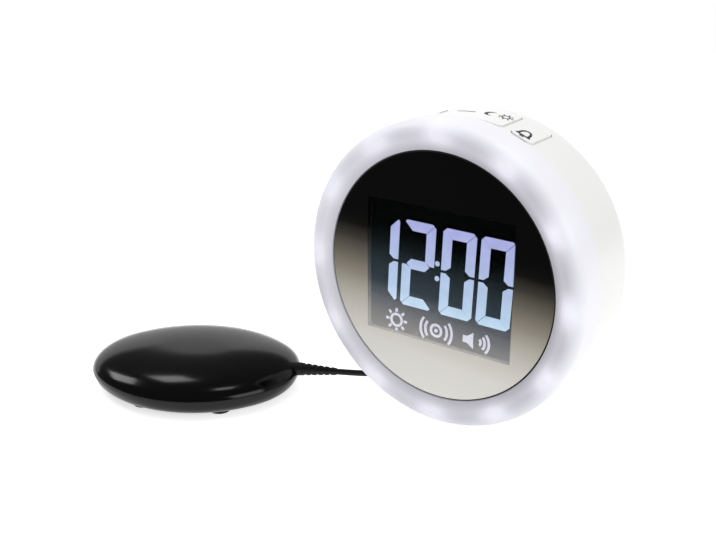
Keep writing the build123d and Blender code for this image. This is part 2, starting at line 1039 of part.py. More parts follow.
def mode_switch():
    front = rear_board_rear
    rear = front + mode_switch_height
    body = block(
        -mode_switch_half_length,
        mode_switch_half_length,
        front,
        rear,
        key_row_z - mode_switch_half_height,
        key_row_z + mode_switch_half_height,
    )
    channel_half = lever_half_length + lever_travel + slide_gap
    slot_half_height = lever_half_height + slide_gap
    slot = block(
        -channel_half,
        channel_half,
        rear - plunger_reach - slide_gap,
        rear + cut_overrun,
        key_row_z - slot_half_height,
        key_row_z + slot_half_height,
    )
    return body - slot


# Slide lever: a ridged thumb piece on a stem
lever_plate_half_length = 6.6
lever_plate_half_height = 3.0
lever_plate_thickness = 0.8
lever_plate_lift = 0.6
ridge_count = 3
ridge_pitch = 1.1
ridge_depth = 0.4
ridge_half_width = 0.25


def mode_lever():
    foot = rear_board_rear + mode_switch_height
    top = case_depth + lever_proud
    lever = block(
        -lever_half_length,
        lever_half_length,
        foot - plunger_reach,
        top,
        key_row_z - lever_half_height,
        key_row_z + lever_half_height,
    )
    plate_front = foot + lever_plate_lift
    lever += block(
        -lever_plate_half_length,
        lever_plate_half_length,
        plate_front,
        plate_front + lever_plate_thickness,
        key_row_z - lever_plate_half_height,
        key_row_z + lever_plate_half_height,
    )
    for number in range(ridge_count):
        x = (number - (ridge_count - 1) / 2) * ridge_pitch
        lever -= block(
            x - ridge_half_width,
            x + ridge_half_width,
            top - ridge_depth,
            top + cut_overrun,
            key_row_z - lever_half_height - cut_overrun,
            key_row_z + lever_half_height + cut_overrun,
        )
    return lever


def rear_key(x):
    """A round key of the back: cap, inner flange and the stem that enters its switch."""
    switch_rear = rear_board_rear + switch_height
    flange_rear = case_inner_rear - slide_gap
    flange_front = flange_rear - rear_flange_thickness
    cap_rear = case_depth + rear_key_proud
    cap = bar(rear_key_radius, flange_front, cap_rear, x, key_row_z)
    cap = fillet(cap.edges().group_by(Axis.Y)[-1], rear_key_proud / 2)
    flange = bar(rear_key_radius + rear_flange_reach, flange_front, flange_rear, x, key_row_z)
    stem = bar(plunger_radius, switch_rear - plunger_reach, flange_front + cut_overrun, x, key_row_z)
    return cap + flange + stem


def top_key(name):
    """A key of the top, curved like the drum, with a flange that holds it under the wall."""
    low, high = top_key_spans[name]
    outer = bar(case_radius + top_key_proud, 0, case_depth)
    flange_outer = case_inner_radius - top_flange_gap
    flange_inner = flange_outer - top_flange_thickness
    cap = top_key_prism(low, high, 0) & outer
    flange = top_key_prism(low, high, top_flange_reach) & bar(flange_outer, 0, case_depth)
    key = (cap + flange) - bar(flange_inner, 0, case_depth)
    middle = (low + high) / 2
    stem_x = top_switch_xs[0] if name == "left" else top_switch_xs[2] if name == "right" else middle
    switch_top = top_board_top + switch_height
    stem_top = math.sqrt(case_inner_radius**2 - (abs(stem_x) + plunger_radius) ** 2)
    stem = post(plunger_radius, switch_top - plunger_reach, stem_top, stem_x, top_key_middle)
    return key + stem


def top_board():
    board = block(
        -top_board_half_width,
        top_board_half_width,
        top_board_front,
        top_board_rear,
        top_board_low,
        top_board_top,
    )
    for side in (-1, 1):
        low = top_board_low - cut_overrun
        high = top_board_top + cut_overrun
        board -= post(board_screw_radius + fit_gap, low, high, side * top_screw_x, top_key_middle)
    return board


def top_switches():
    housings = []
    top = top_board_top + switch_height
    for x in top_switch_xs:
        housing = block(
            x - switch_half,
            x + switch_half,
            top_key_middle - switch_half,
            top_key_middle + switch_half,
            top_board_top,
            top,
        )
        bore = post(
            plunger_radius + running_gap,
            top - switch_bore_depth,
            top + cut_overrun,
            x,
            top_key_middle,
        )
        housings.append(housing - bore)
    return group(housings)


# Knobs of the back, fluted round the rim
knob_radius = 6.5
knob_gap = 0.4
knob_height = 4.0
knob_flutes = 20
flute_radius = 0.55
knob_dish = 0.5
knob_dish_radius = 4.9
knob_edge = 0.5
pointer_half_width = 0.45


def knob(side):
    x = side * knob_x
    front = case_depth + knob_gap
    rear = front + knob_height
    cap = bar(knob_radius, front, rear, x, knob_z)
    cap = chamfer(cap.edges().group_by(Axis.Y)[-1], knob_edge)
    for number in range(knob_flutes):
        step_x, step_z = on_circle(knob_radius, full_turn * number / knob_flutes)
        cap -= bar(flute_radius, front - cut_overrun, rear + cut_overrun, x + step_x, knob_z + step_z)
    cap -= bar(knob_dish_radius, rear - knob_dish, rear + cut_overrun, x, knob_z)
    pointer = block(
        x - pointer_half_width,
        x + pointer_half_width,
        rear - knob_dish - cut_overrun / 2,
        rear - knob_dish / 2,
        knob_z,
        knob_z + knob_dish_radius,
    )
    spindle = bar(spindle_radius, rear_board_rear + board_thickness + slide_gap, front + cut_overrun, x, knob_z)
    return cap + pointer + spindle


# Sockets
inlet_floor = 2.3
inlet_pin_recess = 0.8

inlet_front = case_inner_rear - inlet_depth


def dc_inlet():
    """The power inlet: a moulded block, its round mouth, and the pin inside as a solid of its own."""
    rear = case_inner_rear
    body = block(
        socket_x - inlet_half_width,
        socket_x + inlet_half_width,
        inlet_front,
        rear,
        socket_z - inlet_half_height,
        socket_z + inlet_half_height,
    )
    bore_front = inlet_front + inlet_floor
    body -= bar(inlet_bore, bore_front, rear + cut_overrun, socket_x, socket_z)
    pin = bar(inlet_pin_radius, bore_front, rear - inlet_pin_recess, socket_x, socket_z)
    return group([body, pin])


# The shaker's plug and the jack it enters
plug_pin_radius = 1.75
plug_pin_length = 14.0
plug_body_gap = 0.1
plug_body_radius = 4.25
plug_body_length = 15.0
plug_tail_length = 9.0
plug_tail_radius = 1.9
plug_edge = 0.8
plug_neck_radius = 1.25
plug_neck_at = 3.0
plug_neck_width = 0.7
jack_bore_end = 1.0
jack_floor = 1.1

plug_front = case_depth + plug_body_gap
plug_tip = plug_front - plug_pin_length
jack_bore_front = plug_tip - jack_bore_end
jack_front = jack_bore_front - jack_floor
plug_body_rear = plug_front + plug_body_length
plug_tail_rear = plug_body_rear + plug_tail_length


def shaker_jack():
    rear = case_inner_rear
    body = block(
        -socket_x - jack_half,
        -socket_x + jack_half,
        jack_front,
        rear,
        socket_z - jack_half,
        socket_z + jack_half,
    )
    body += bar(jack_nose_radius, rear, case_depth, -socket_x, socket_z)
    bore = plug_pin_radius + running_gap
    return body - bar(bore, jack_bore_front, case_depth + cut_overrun, -socket_x, socket_z)


def plug_pin():
    pin = bar(plug_pin_radius, plug_tip, plug_front, -socket_x, socket_z)
    pin = chamfer(pin.edges().group_by(Axis.Y)[0], plug_edge)
    neck_front = plug_tip + plug_neck_at
    groove = sleeve(
        plug_pin_radius + cut_overrun,
        plug_neck_radius,
        neck_front,
        neck_front + plug_neck_width,
        -socket_x,
        socket_z,
    )
    return pin - groove


def plug_body():
    """The moulded grip of the plug, with a tapering tail that meets the cord."""
    edges = [
        Polyline(
            (0, plug_front),
            (plug_body_radius - plug_edge, plug_front),
            (plug_body_radius, plug_front + plug_edge),
            (plug_body_radius, plug_body_rear - plug_edge),
            (plug_body_radius - plug_edge, plug_body_rear),
            (plug_body_radius - 2 * plug_edge, plug_body_rear),
            (plug_tail_radius, plug_tail_rear),
            (0, plug_tail_rear),
            (0, plug_front),
        )
    ]
    return Pos(-socket_x, 0, socket_z) * revolve(make_face(edges), Axis.Y)


# Speaker: steel basket, magnet, moving cone and the surround that the cone works in
speaker_flange_reach = 3.1
speaker_flange_thickness = 1.2
basket_wall = 0.8
basket_depth = 7.3
basket_foot_inset = 5.7
basket_floor = 0.8
basket_bore_step = 0.9
basket_windows = 4
basket_window_half = 4.0
magnet_inset = 1.8
magnet_thickness = 5.5
pole_radius = 5.3
coil_gap_depth = 4.0
coil_inner_gap = 0.6
coil_wall = 0.5
coil_outer_gap = 0.7
coil_dip = 2.6
cone_rim_inset = 0.7
cone_thickness = 0.5
cone_rise = 4.4
cone_lift = 2.0
cap_rise = 1.8
surround_gap = 0.3
surround_inset = 1.6
surround_thickness = 0.6

speaker_rear = case_inner_rear
flange_front = speaker_rear - speaker_flange_thickness
speaker_flange_inner = speaker_radius - speaker_flange_reach
surround_outer = speaker_radius - surround_inset
cone_rim_radius = speaker_flange_inner - cone_rim_inset
coil_inner = pole_radius + coil_inner_gap
coil_outer = coil_inner + coil_wall
coil_gap_radius = coil_outer + coil_outer_gap
basket_floor_bore = coil_gap_radius + basket_bore_step
basket_foot = speaker_rear - basket_depth
basket_foot_radius = speaker_radius - basket_foot_inset
magnet_rear = basket_foot - basket_floor
magnet_front = magnet_rear - magnet_thickness
magnet_radius = basket_foot_radius - magnet_inset
cone_base = magnet_rear + cone_lift


def about_speaker(edges):
    """An outline turned about the speaker's own axis."""
    return Pos(0, 0, speaker_z) * revolve(make_face(edges), Axis.Y)


def speaker_frame():
    edges = [
        Polyline(
            (speaker_flange_inner, speaker_rear),
            (speaker_radius, speaker_rear),
            (speaker_radius, flange_front),
            (basket_foot_radius, basket_foot),
            (basket_foot_radius, magnet_rear),
            (basket_floor_bore, magnet_rear),
            (basket_floor_bore, basket_foot),
            (basket_foot_radius - basket_wall, basket_foot),
            (speaker_radius - basket_wall, flange_front),
            (speaker_flange_inner, flange_front),
            (speaker_flange_inner, speaker_rear),
        )
    ]
    basket = about_speaker(edges)
    window = block(
        0,
        speaker_radius + cut_overrun,
        basket_foot + basket_wall,
        flange_front - basket_wall,
        -basket_window_half,
        basket_window_half,
    )
    for number in range(basket_windows):
        turned = Rot(0, full_turn * (number + 0.5) / basket_windows, 0) * window
        basket -= Pos(0, 0, speaker_z) * turned
    return basket


def speaker_magnet():
    magnet = bar(magnet_radius, magnet_front, magnet_rear, 0, speaker_z)
    gap_front = magnet_rear - coil_gap_depth
    ring = sleeve(coil_gap_radius, pole_radius, gap_front, magnet_rear + cut_overrun, 0, speaker_z)
    return magnet - ring


def speaker_cone():
    rim = cone_base + cone_rise
    cap = [
        Polyline(
            (coil_inner, cone_base - cone_lift - coil_dip),
            (coil_outer, cone_base - cone_lift - coil_dip),
            (coil_outer, cone_base),
            (cone_rim_radius, rim - cone_thickness),
            (cone_rim_radius, rim),
            (coil_outer, cone_base + cone_thickness),
        ),
        TangentArc(
            (0, cone_base + cone_thickness + cap_rise),
            (coil_outer, cone_base + cone_thickness),
            tangent=(1, 0),
        ),
        Polyline(
            (0, cone_base + cone_thickness + cap_rise),
            (0, cone_base + cap_rise),
            (coil_inner, cone_base),
            (coil_inner, cone_base - cone_lift - coil_dip),
        ),
    ]
    return about_speaker(cap)


def speaker_surround():
    inner = cone_rim_radius + surround_gap
    rear = flange_front
    return sleeve(surround_outer, inner, rear - surround_thickness, rear, 0, speaker_z)


# Battery, its contacts and the door
door_slot_half_length = 6.5
door_slot_half_width = 0.9
door_slot_depth = 1.1
contact_radius = 6.0
side_contact_thickness = 0.3
side_contact_half = 3.0


def coin_cell():
    cell = bar(cell_radius, cell_front, cell_rear, 0, battery_z)
    return chamfer(cell.edges(), contact_thickness)


def battery_contacts():
    """The spring plate under the cell and the side contact against its rim."""
    plate = bar(contact_radius, contact_front, cell_front, 0, battery_z)
    outer = cell_radius + cell_play
    side = sleeve(outer, outer - side_contact_thickness, contact_front, cell_rear, 0, battery_z)
    strip = block(
        -side_contact_half,
        side_contact_half,
        contact_front,
        cell_rear,
        battery_z,
        battery_z + outer + cut_overrun,
    )
    return group([plate, side & strip])


def battery_door():
    door = bar(door_radius, door_front, door_rear, 0, battery_z)
    for side in (0, half_turn):
        lug = sector(door_radius + lug_reach, lug_front, lug_rear, side, lug_half_angle, battery_z)
        door += lug
    door -= slab(
        door_slot_half_length,
        door_slot_half_width,
        door_slot_half_width * slot_end_share,
        door_rear - door_slot_depth,
        door_rear + cut_overrun,
        0,
        battery_z,
    )
    return door


# Ribbon cable between the main board and the rear board
ribbon_x = 16.0
ribbon_z = -16.0
ribbon_half_width = 5.0
ribbon_thickness = 0.5
ribbon_plug_depth = 3.0
ribbon_plug_half_height = 1.6
ribbon_plug_margin = 1.0
ribbon_bow = 3.0


def ribbon_cable():
    pieces = []
    for front in (main_board_rear, rear_board_front - ribbon_plug_depth):
        pieces.append(
            block(
                ribbon_x - ribbon_half_width - ribbon_plug_margin,
                ribbon_x + ribbon_half_width + ribbon_plug_margin,
                front,
                front + ribbon_plug_depth,
                ribbon_z - ribbon_plug_half_height,
                ribbon_z + ribbon_plug_half_height,
            )
        )
    start = main_board_rear + ribbon_plug_depth
    end = rear_board_front - ribbon_plug_depth
    middle = (start + end) / 2
    left = ribbon_x - ribbon_half_width
    half = ribbon_thickness / 2
    low_arc = ThreePointArc(
        (left, start, ribbon_z - half),
        (left, middle, ribbon_z + ribbon_bow - half),
        (left, end, ribbon_z - half),
    )
    high_arc = ThreePointArc(
        (left, start, ribbon_z + half),
        (left, middle, ribbon_z + ribbon_bow + half),
        (left, end, ribbon_z + half),
    )
    near_end = Line((left, start, ribbon_z - half), (left, start, ribbon_z + half))
    far_end = Line((left, end, ribbon_z - half), (left, end, ribbon_z + half))
    strip = make_face([low_arc, far_end, high_arc, near_end])
    pieces.append(extrude(strip, 2 * ribbon_half_width, dir=(1, 0, 0)))
    return group(pieces)


# The pad's shells: an oval pebble of four arcs, cut at the seam. The shares place the pull points of
# each half's curve: the way in from the rim, as a share of the end arcs' radius, and the way from the
# seam to the flat, as a share of that half's height.
pad_end_step = 5.4
pad_foot_height = 0.8
pad_seam_step = 0.35
pad_dome_shares = ((0, 0.0), (0, 0.5), (0.27, 1.0), (1, 1.0))
pad_belly_shares = ((0, 0.0), (0, 0.55), (0.12, 1.0), (0.35, 1.0))
pad_boss_radius = 3.0
pad_screw_end_inset = 19.1
pad_screw_side_inset = 16.4
pad_screw_recess = 2.6
pad_screw_recess_depth = 2.2
pad_screw_length = 8.0
pad_boss_drop = 2.9
boot_axis_rise = 1.8
pad_foot_radius = 4.0
pad_foot_end_inset = 26.1
pad_foot_side_inset = 13.4

pad_boss_top = pad_height - pad_boss_drop
boot_axis_height = pad_seam_height + boot_axis_rise
pad_screw_x = pad_half_length - pad_screw_end_inset
pad_screw_y = pad_half_width - pad_screw_side_inset
pad_foot_x = pad_half_length - pad_foot_end_inset
pad_foot_y = pad_half_width - pad_foot_side_inset
pad_lens_half_width = pad_end_step
pad_end_radius = pad_half_width - pad_end_step
pad_end_centre = pad_half_length - pad_end_radius
pad_side_centre = (pad_end_centre**2 - pad_lens_half_width**2) / (2 * pad_lens_half_width)
pad_side_radius = pad_half_width + pad_side_centre
pad_end_half_angle = math.degrees(math.atan2(pad_side_centre, pad_end_centre))


def oval_shell(outline, low, high):
    """An outline turned round the four arcs of the oval, and the flat plate left in its middle."""
    end_span = 2 * pad_end_half_angle
    side_span = half_turn - end_span
    plate_edge = pad_end_centre, pad_lens_half_width
    near, far = (-plate_edge[0], 0), (plate_edge[0], 0)
    lens = make_face(
        [ThreePointArc(near, (0, plate_edge[1]), far), ThreePointArc(far, (0, -plate_edge[1]), near)]
    )
    shell = Pos(0, 0, low) * extrude(lens, high - low)
    for side in (0, half_turn):
        end = revolve(make_face(outline(pad_end_radius)), Axis.Z, end_span)
        flank = revolve(make_face(outline(pad_side_radius)), Axis.Z, side_span)
        turned_end = Rot(0, 0, side) * Pos(pad_end_centre, 0, 0) * Rot(0, 0, -pad_end_half_angle) * end
        turned_flank = Rot(0, 0, side) * Pos(0, -pad_side_centre, 0) * Rot(0, 0, pad_end_half_angle) * flank
        shell = shell + turned_end + turned_flank
    return shell


def rim_curve(radius, inset, flat_height, shares):
    """A shell's side, upright at the seam and level where it runs flat."""
    rise = flat_height - pad_seam_height
    reach = pad_end_radius - inset
    pulls = [(radius - inset - reach * t, 0, pad_seam_height + rise * h) for t, h in shares]
    return Bezier(*pulls)


def half_outline(radius, inset, outer_height, inner_height, shares):
    """The outline of a hollow half, from its rim to the axis of its end arcs."""
    middle = radius - pad_end_radius
    outer = rim_curve(radius, inset, outer_height, shares)
    inner = rim_curve(radius, pad_wall, inner_height, shares)
    outer_end = (middle, 0, outer_height)
    inner_end = (middle, 0, inner_height)
    edges = [outer, inner, Line(inner @ 0, outer @ 0), Line(outer_end, inner_end)]
    if shares[-1][0] < 1:
        edges += [Line(outer @ 1, outer_end), Line(inner @ 1, inner_end)]
    return edges


def dome_outline(radius):
    return half_outline(radius, 0, pad_height, pad_height - pad_wall, pad_dome_shares)


def belly_outline(radius):
    low = pad_foot_height
    return half_outline(radius, pad_seam_step, low, low + pad_wall, pad_belly_shares)


def pad_screw_places():
    return [(x, y) for x in (-pad_screw_x, pad_screw_x) for y in (-pad_screw_y, pad_screw_y)]


# Boot: the rubber sleeve that guides the cord out of the pad, held at its groove by a rib of each shell
boot_root_radius = 2.6
boot_groove_radius = 2.0
boot_tip_radius = 1.45
boot_length = 15.0
boot_root_outside = 0.6
boot_inside = 7.5
boot_collar = 1.6
boot_groove_width = 1.2
boot_rib_gap = 0.1
boot_rib_half_width = 4.5
boot_rib_low = 3.1
boot_rib_drop = 3.6
boot_ring_count = 5
boot_ring_pitch = 2.4
boot_ring_half_width = 0.45
boot_ring_depth = 0.35

boot_inner_end = pad_half_length - boot_inside
boot_rib_high = pad_height - boot_rib_drop
boot_groove_near = boot_inner_end + boot_collar
boot_groove_far = boot_groove_near + boot_groove_width
boot_root_end = pad_half_length + boot_root_outside
boot_tip = pad_half_length + boot_length


def along_x(radius, near, far, y=0, z=0):
    """A round bar along the pad's length."""
    return Pos(near, y, z) * Rot(0, quarter_turn, 0) * Cylinder(radius, far - near, align=from_low_end)


def boot_rib(low, high):
    """A shell's rib across the boot."""
    return block(
        boot_groove_near + boot_rib_gap,
        boot_groove_far - boot_rib_gap,
        -boot_rib_half_width,
        boot_rib_half_width,
        low,
        high,
    )


def boot_holes():
    """The way out through the wall, the pocket for the inner end, and the hole through the ribs."""
    root = boot_root_radius + fit_gap
    rib_near = boot_groove_near + boot_rib_gap
    rib_far = boot_groove_far - boot_rib_gap
    pocket = along_x(root, boot_inner_end - fit_gap, rib_near, 0, boot_axis_height)
    wall = along_x(root, rib_far, pad_half_length + cut_overrun, 0, boot_axis_height)
    rib = along_x(boot_groove_radius + fit_gap, boot_inner_end, pad_half_length, 0, boot_axis_height)
    return pocket + rib + wall


def pad_boot():
    outline = [
        (boot_inner_end, 0),
        (boot_inner_end, boot_root_radius),
        (boot_groove_near, boot_root_radius),
        (boot_groove_near, boot_groove_radius),
        (boot_groove_far, boot_groove_radius),
        (boot_groove_far, boot_root_radius),
        (boot_root_end, boot_root_radius),
        (boot_tip, boot_tip_radius),
        (boot_tip, 0),
    ]
    face = make_face(Polyline(*[(x, 0, r) for x, r in outline], close=True))
    boot = Pos(0, 0, boot_axis_height) * revolve(face, Axis.X)
    half = boot_ring_half_width
    for number in range(boot_ring_count):
        middle = boot_root_end + boot_ring_pitch * (number + 1)
        taper = (middle - boot_root_end) / (boot_tip - boot_root_end)
        floor = boot_root_radius + (boot_tip_radius - boot_root_radius) * taper - boot_ring_depth
        groove = along_x(boot_root_radius, middle - half, middle + half, 0, boot_axis_height)
        groove -= along_x(floor, middle - 2 * half, middle + 2 * half, 0, boot_axis_height)
        boot -= groove
    return boot


# Motor of the pad: a flat-sided can on two saddles, a clamp over it, and the weight on its shaft
motor_length = 15.0
motor_half_width = 6.0
motor_top_gap = 3.0
motor_near = -4.0
motor_corner = 2.6
bearing_radius = 2.0
bearing_length = 1.0
shaft_radius = 0.75
shaft_length = 10.0
shaft_inside = 3.0
weight_floor_gap = 0.3
weight_length = 7.0
weight_gap = 0.8
weight_hub_radius = 2.0
saddle_thickness = 1.6
saddle_gap = 0.1
saddle_side = 1.4
saddle_places = (-2.0, 9.0)
saddle_half_depth = 1.2
saddle_arm_height = 4.0
clamp_thickness = 0.8
clamp_half_depth = 3.0
clamp_ear = 5.0
clamp_post_gap = 0.3

motor_axis_height = pad_height / 2
motor_half_height = motor_axis_height - motor_top_gap
weight_radius = motor_axis_height - pad_foot_height - pad_wall - weight_floor_gap
motor_far = motor_near + motor_length
motor_low = motor_axis_height - motor_half_height
motor_high = motor_axis_height + motor_half_height
clamp_middle = (motor_near + motor_far) / 2
clamp_post_y = motor_half_width + clamp_post_gap + clamp_ear / 2
clamp_post_radius = 2.2
clamp_ear_height = 6.2


def pad_upper_shell():
    shell = oval_shell(dome_outline, pad_height - pad_wall, pad_height)
    for x, y in pad_screw_places():
        shell += post(pad_boss_radius, pad_seam_height, pad_boss_top, x, y)
    shell += boot_rib(pad_seam_height, boot_rib_high)
    for x, y in pad_screw_places():
        tip = pad_foot_height + pad_screw_recess_depth + pad_screw_length
        shell -= post(board_screw_radius + screw_gap, pad_seam_height - cut_overrun, tip + fit_gap, x, y)
    return shell - boot_holes()


def pad_lower_shell():
    shell = oval_shell(belly_outline, pad_foot_height, pad_foot_height + pad_wall)
    floor_middle = pad_foot_height + pad_wall / 2
    for x, y in pad_screw_places():
        shell += post(pad_boss_radius, floor_middle, pad_seam_height, x, y)
    shell += boot_rib(boot_rib_low, pad_seam_height)
    for x in saddle_places:
        arm = motor_half_width + saddle_gap + saddle_side
        saddle = block(
            x - saddle_half_depth,
            x + saddle_half_depth,
            -arm,
            arm,
            floor_middle,
            motor_low - saddle_gap + saddle_arm_height,
        )
        bed = block(
            x - saddle_half_depth - cut_overrun,
            x + saddle_half_depth + cut_overrun,
            -motor_half_width - saddle_gap,
            motor_half_width + saddle_gap,
            motor_low - saddle_gap,
            pad_height,
        )
        shell += saddle - bed
    for side in (-1, 1):
        shell += post(
            clamp_post_radius,
            floor_middle,
            clamp_ear_height,
            clamp_middle,
            side * clamp_post_y,
        )
    for x, y in pad_screw_places():
        seat = pad_foot_height + pad_screw_recess_depth
        shell -= post(pad_screw_recess, pad_foot_height - cut_overrun, seat, x, y)
        shell -= post(board_screw_radius + fit_gap, seat - cut_overrun, pad_seam_height + cut_overrun, x, y)
    for side in (-1, 1):
        low = clamp_ear_height - board_screw_length + clamp_thickness - fit_gap
        high = clamp_ear_height + cut_overrun
        shell -= post(board_screw_radius + screw_gap, low, high, clamp_middle, side * clamp_post_y)
    return shell - boot_holes()


def pad_feet():
    feet = []
    for x in (-pad_foot_x, pad_foot_x):
        for y in (-pad_foot_y, pad_foot_y):
            feet.append(post(pad_foot_radius, 0, pad_foot_height, x, y))
    return group(feet)


def pad_screws():
    screws = []
    for x, y in pad_screw_places():
        seat = pad_foot_height + pad_screw_recess_depth
        shank = post(board_screw_radius, seat, seat + pad_screw_length, x, y)
        head = post(board_screw_head, seat - board_screw_head_height, seat, x, y)
        screws.append(shank + head)
    for side in (-1, 1):
        top = clamp_ear_height + clamp_thickness
        y = side * clamp_post_y
        shank = post(board_screw_radius, top - board_screw_length, top, clamp_middle, y)
        head = post(board_screw_head, top, top + board_screw_head_height, clamp_middle, y)
        screws.append(shank + head)
    return group(screws)


def motor_can():
    """The motor: a can with two flat sides, its bearing nose, and a bore for the shaft."""
    outline = RectangleRounded(2 * motor_half_height, 2 * motor_half_width, motor_corner)
    can = Pos(motor_near, 0, motor_axis_height) * Rot(0, quarter_turn, 0) * extrude(outline, motor_length)
    nose_end = motor_near - bearing_length
    can += along_x(bearing_radius, nose_end, motor_near, 0, motor_axis_height)
    bore_end = motor_near + shaft_inside + running_gap
    bore = along_x(shaft_radius + running_gap, nose_end - cut_overrun, bore_end, 0, motor_axis_height)
    return can - bore


def motor_clamp():
    """A bent steel strap over the motor, with an ear screwed down on each side."""
    inner_half = motor_half_width + running_gap
    outer_half = inner_half + clamp_thickness
    ear_half = clamp_post_y + clamp_ear / 2
    ear_top = clamp_ear_height + clamp_thickness
    high = motor_high + running_gap
    near = clamp_middle - clamp_half_depth
    far = clamp_middle + clamp_half_depth
    strap = block(near, far, -outer_half, outer_half, clamp_ear_height, high + clamp_thickness)
    strap -= block(
        near - cut_overrun,
        far + cut_overrun,
        -inner_half,
        inner_half,
        clamp_ear_height - cut_overrun,
        high,
    )
    for side in (-1, 1):
        inner = side * inner_half
        outer = side * ear_half
        low_y, high_y = min(inner, outer), max(inner, outer)
        strap += block(near, far, low_y, high_y, clamp_ear_height, ear_top)
    for side in (-1, 1):
        hole = board_screw_radius + fit_gap
        low = clamp_ear_height - cut_overrun
        strap -= post(hole, low, ear_top + cut_overrun, clamp_middle, side * clamp_post_y)
    return strap


weight_far = motor_near - bearing_length - weight_gap
weight_near = weight_far - weight_length


def motor_shaft():
    far = motor_near + shaft_inside
    near = weight_near
    return along_x(shaft_radius, near, far, 0, motor_axis_height)


def eccentric_weight():
    """The half-round weight that shakes the pad, with a hub on the shaft."""
    disc = along_x(weight_radius, weight_near, weight_far, 0, motor_axis_height)
    reach = weight_radius + cut_overrun
    upper = block(
        weight_near - cut_overrun,
        weight_far + cut_overrun,
        -reach,
        reach,
        motor_axis_height,
        motor_axis_height + reach,
    )
    hub = along_x(weight_hub_radius, weight_near, weight_far, 0, motor_axis_height)
    return (disc - upper + hub) - along_x(
        shaft_radius,
        weight_near - cut_overrun,
        weight_far + cut_overrun,
        0,
        motor_axis_height,
    )


# Cord: it lies from the boot on the table to a tied coil behind the clock, and rises from the coil
# to the plug. The points of its two free stretches are chosen by hand, in the whole part's frame.
layer_rise = 2.85
turn_pitch = 2.85
coil_outer_radius = 20.0
tie_thickness = 0.5
tie_gap = 0.15
coil_turn_shares = (8.5, 9, 9, 8.5)
coil_steps_per_half_turn = 2
coil_check_points = 6
climb_lead = 0.5
heading_step = 1e-4
arc_share_of_run = 0.45

coil_centre_x = -46.0
coil_centre_y = 77.0
coil_low = tie_thickness + tie_gap + cord_diameter / 2
coil_layers = len(coil_turn_shares)
coil_high = coil_low + layer_rise * (coil_layers - 1)

pad_run_points = (
    (-34.8, -19.5, 7.6),
    (-34.6, -9.0, 3.9),
    (-38.5, 6.0, 1.5),
    (-46.0, 24.0, 1.3),
    (-56.5, 40.0, 1.25),
    (-64.6, 55.0, 1.3),
)
plug_run_points = (
    (-25.7, 63.5, 15.0),
    (-26.3, 57.5, 27.0),
)
boot_lead = 6.0
coil_lead = 9.0
plug_lead = 6.8


def half_turns_before(layer):
    return sum(coil_turn_shares[:layer])


def coil_state(turned):
    """Radius and height of the coil after so many half turns: it spirals in and out by turns."""
    total = 0
    radius = coil_outer_radius
    inward = True
    for share in coil_turn_shares:
        step = min(turned - total, share)
        radius += (-step if inward else step) * turn_pitch / 2
        total += share
        if turned <= total:
            break
        inward = not inward
    height = coil_low
    for climb in range(1, coil_layers):
        start = half_turns_before(climb) - climb_lead
        share = min(max(turned - start, 0), 1)
        height += layer_rise * share * share * (3 - 2 * share)
    return radius, height


def coil_point(turned):
    """A point of the coil's line, which starts on the left and winds clockwise seen from above."""
    radius, height = coil_state(turned)
    angle = math.pi - math.pi * turned
    return Vector(
        coil_centre_x + radius * math.cos(angle),
        coil_centre_y + radius * math.sin(angle),
        height,
    )


def coil_heading(turned):
    """The direction of the coil's line, level and square to the radius at both ends."""
    last = sum(coil_turn_shares)
    if turned in (0, last):
        angle = math.pi - math.pi * turned
        return Vector(math.sin(angle), -math.cos(angle), 0)
    return (coil_point(turned + heading_step) - coil_point(turned - heading_step)).normalized()


def biarc(start, start_heading, end, end_heading):
    """Two arcs that leave one point and reach the next in the given directions."""
    span = end - start
    both = start_heading + end_heading
    across = span.dot(both)
    bend = 2 * (1 - start_heading.dot(end_heading))
    reach = (-across + math.sqrt(across * across + bend * span.dot(span))) / bend
    near = start + start_heading * reach
    far = end - end_heading * reach
    middle = (near + far) / 2
    first = TangentArc(start, middle, tangent=start_heading)
    second = TangentArc(middle, end, tangent=(far - near).normalized())
    return [first, second]


def coil_edges():
    count = round(sum(coil_turn_shares) * coil_steps_per_half_turn)
    edges = []
    for step in range(count):
        near = step / coil_steps_per_half_turn
        far = (step + 1) / coil_steps_per_half_turn
        edges += biarc(coil_point(near), coil_heading(near), coil_point(far), coil_heading(far))
    return edges


def tube(path):
    """A round cord, drawn with flat sides, along a line."""
    start = Plane(origin=path @ 0, z_dir=path % 0)
    section = start * RegularPolygon(cord_diameter / 2, cord_sides)
    return sweep(section, path=path), section.area


def report_tube(name, solid, area, path):
    expected = area * path.length
    print(f"{name}: {path.length:.1f} mm long, {solid.volume:.1f} of {expected:.1f} cubic mm")


def cord_coil():
    edges = coil_edges()
    path = Wire(edges)
    solid, area = tube(path)
    report_tube("cord_coil", solid, area, path)
    points = []
    places = []
    travelled = 0
    for edge in edges:
        for number in range(coil_check_points):
            share = number / coil_check_points
            points.append(edge @ share)
            places.append(travelled + share * edge.length)
        travelled += edge.length
    least = min(
        (a - b).length
        for i, a in enumerate(points)
        for j, b in enumerate(points[:i])
        if places[i] - places[j] > coil_outer_radius
    )
    print(f"cord_coil: least gap to itself {least - cord_diameter:.2f} mm")
    return solid


def laid_cord(name, points):
    """A free stretch of cord: straight runs joined by arcs as large as their runs allow."""
    points = [Vector(*point) for point in points]
    radii = []
    for before, corner, after in zip(points, points[1:], points[2:]):
        arriving = corner - before
        leaving = after - corner
        turn = math.radians(arriving.get_angle(leaving))
        shorter = min(arriving.length, leaving.length)
        radii.append(arc_share_of_run * shorter / math.tan(turn / 2))
    path = FilletPolyline(*points, radius=radii)
    solid, area = tube(path)
    report_tube(name, solid, area, path)
    print(f"{name}: arc radii {[round(radius, 1) for radius in radii]}")
    return solid


def pad_place():
    return Pos(pad_centre_x, pad_centre_y, 0) * Rot(0, 0, pad_turn)


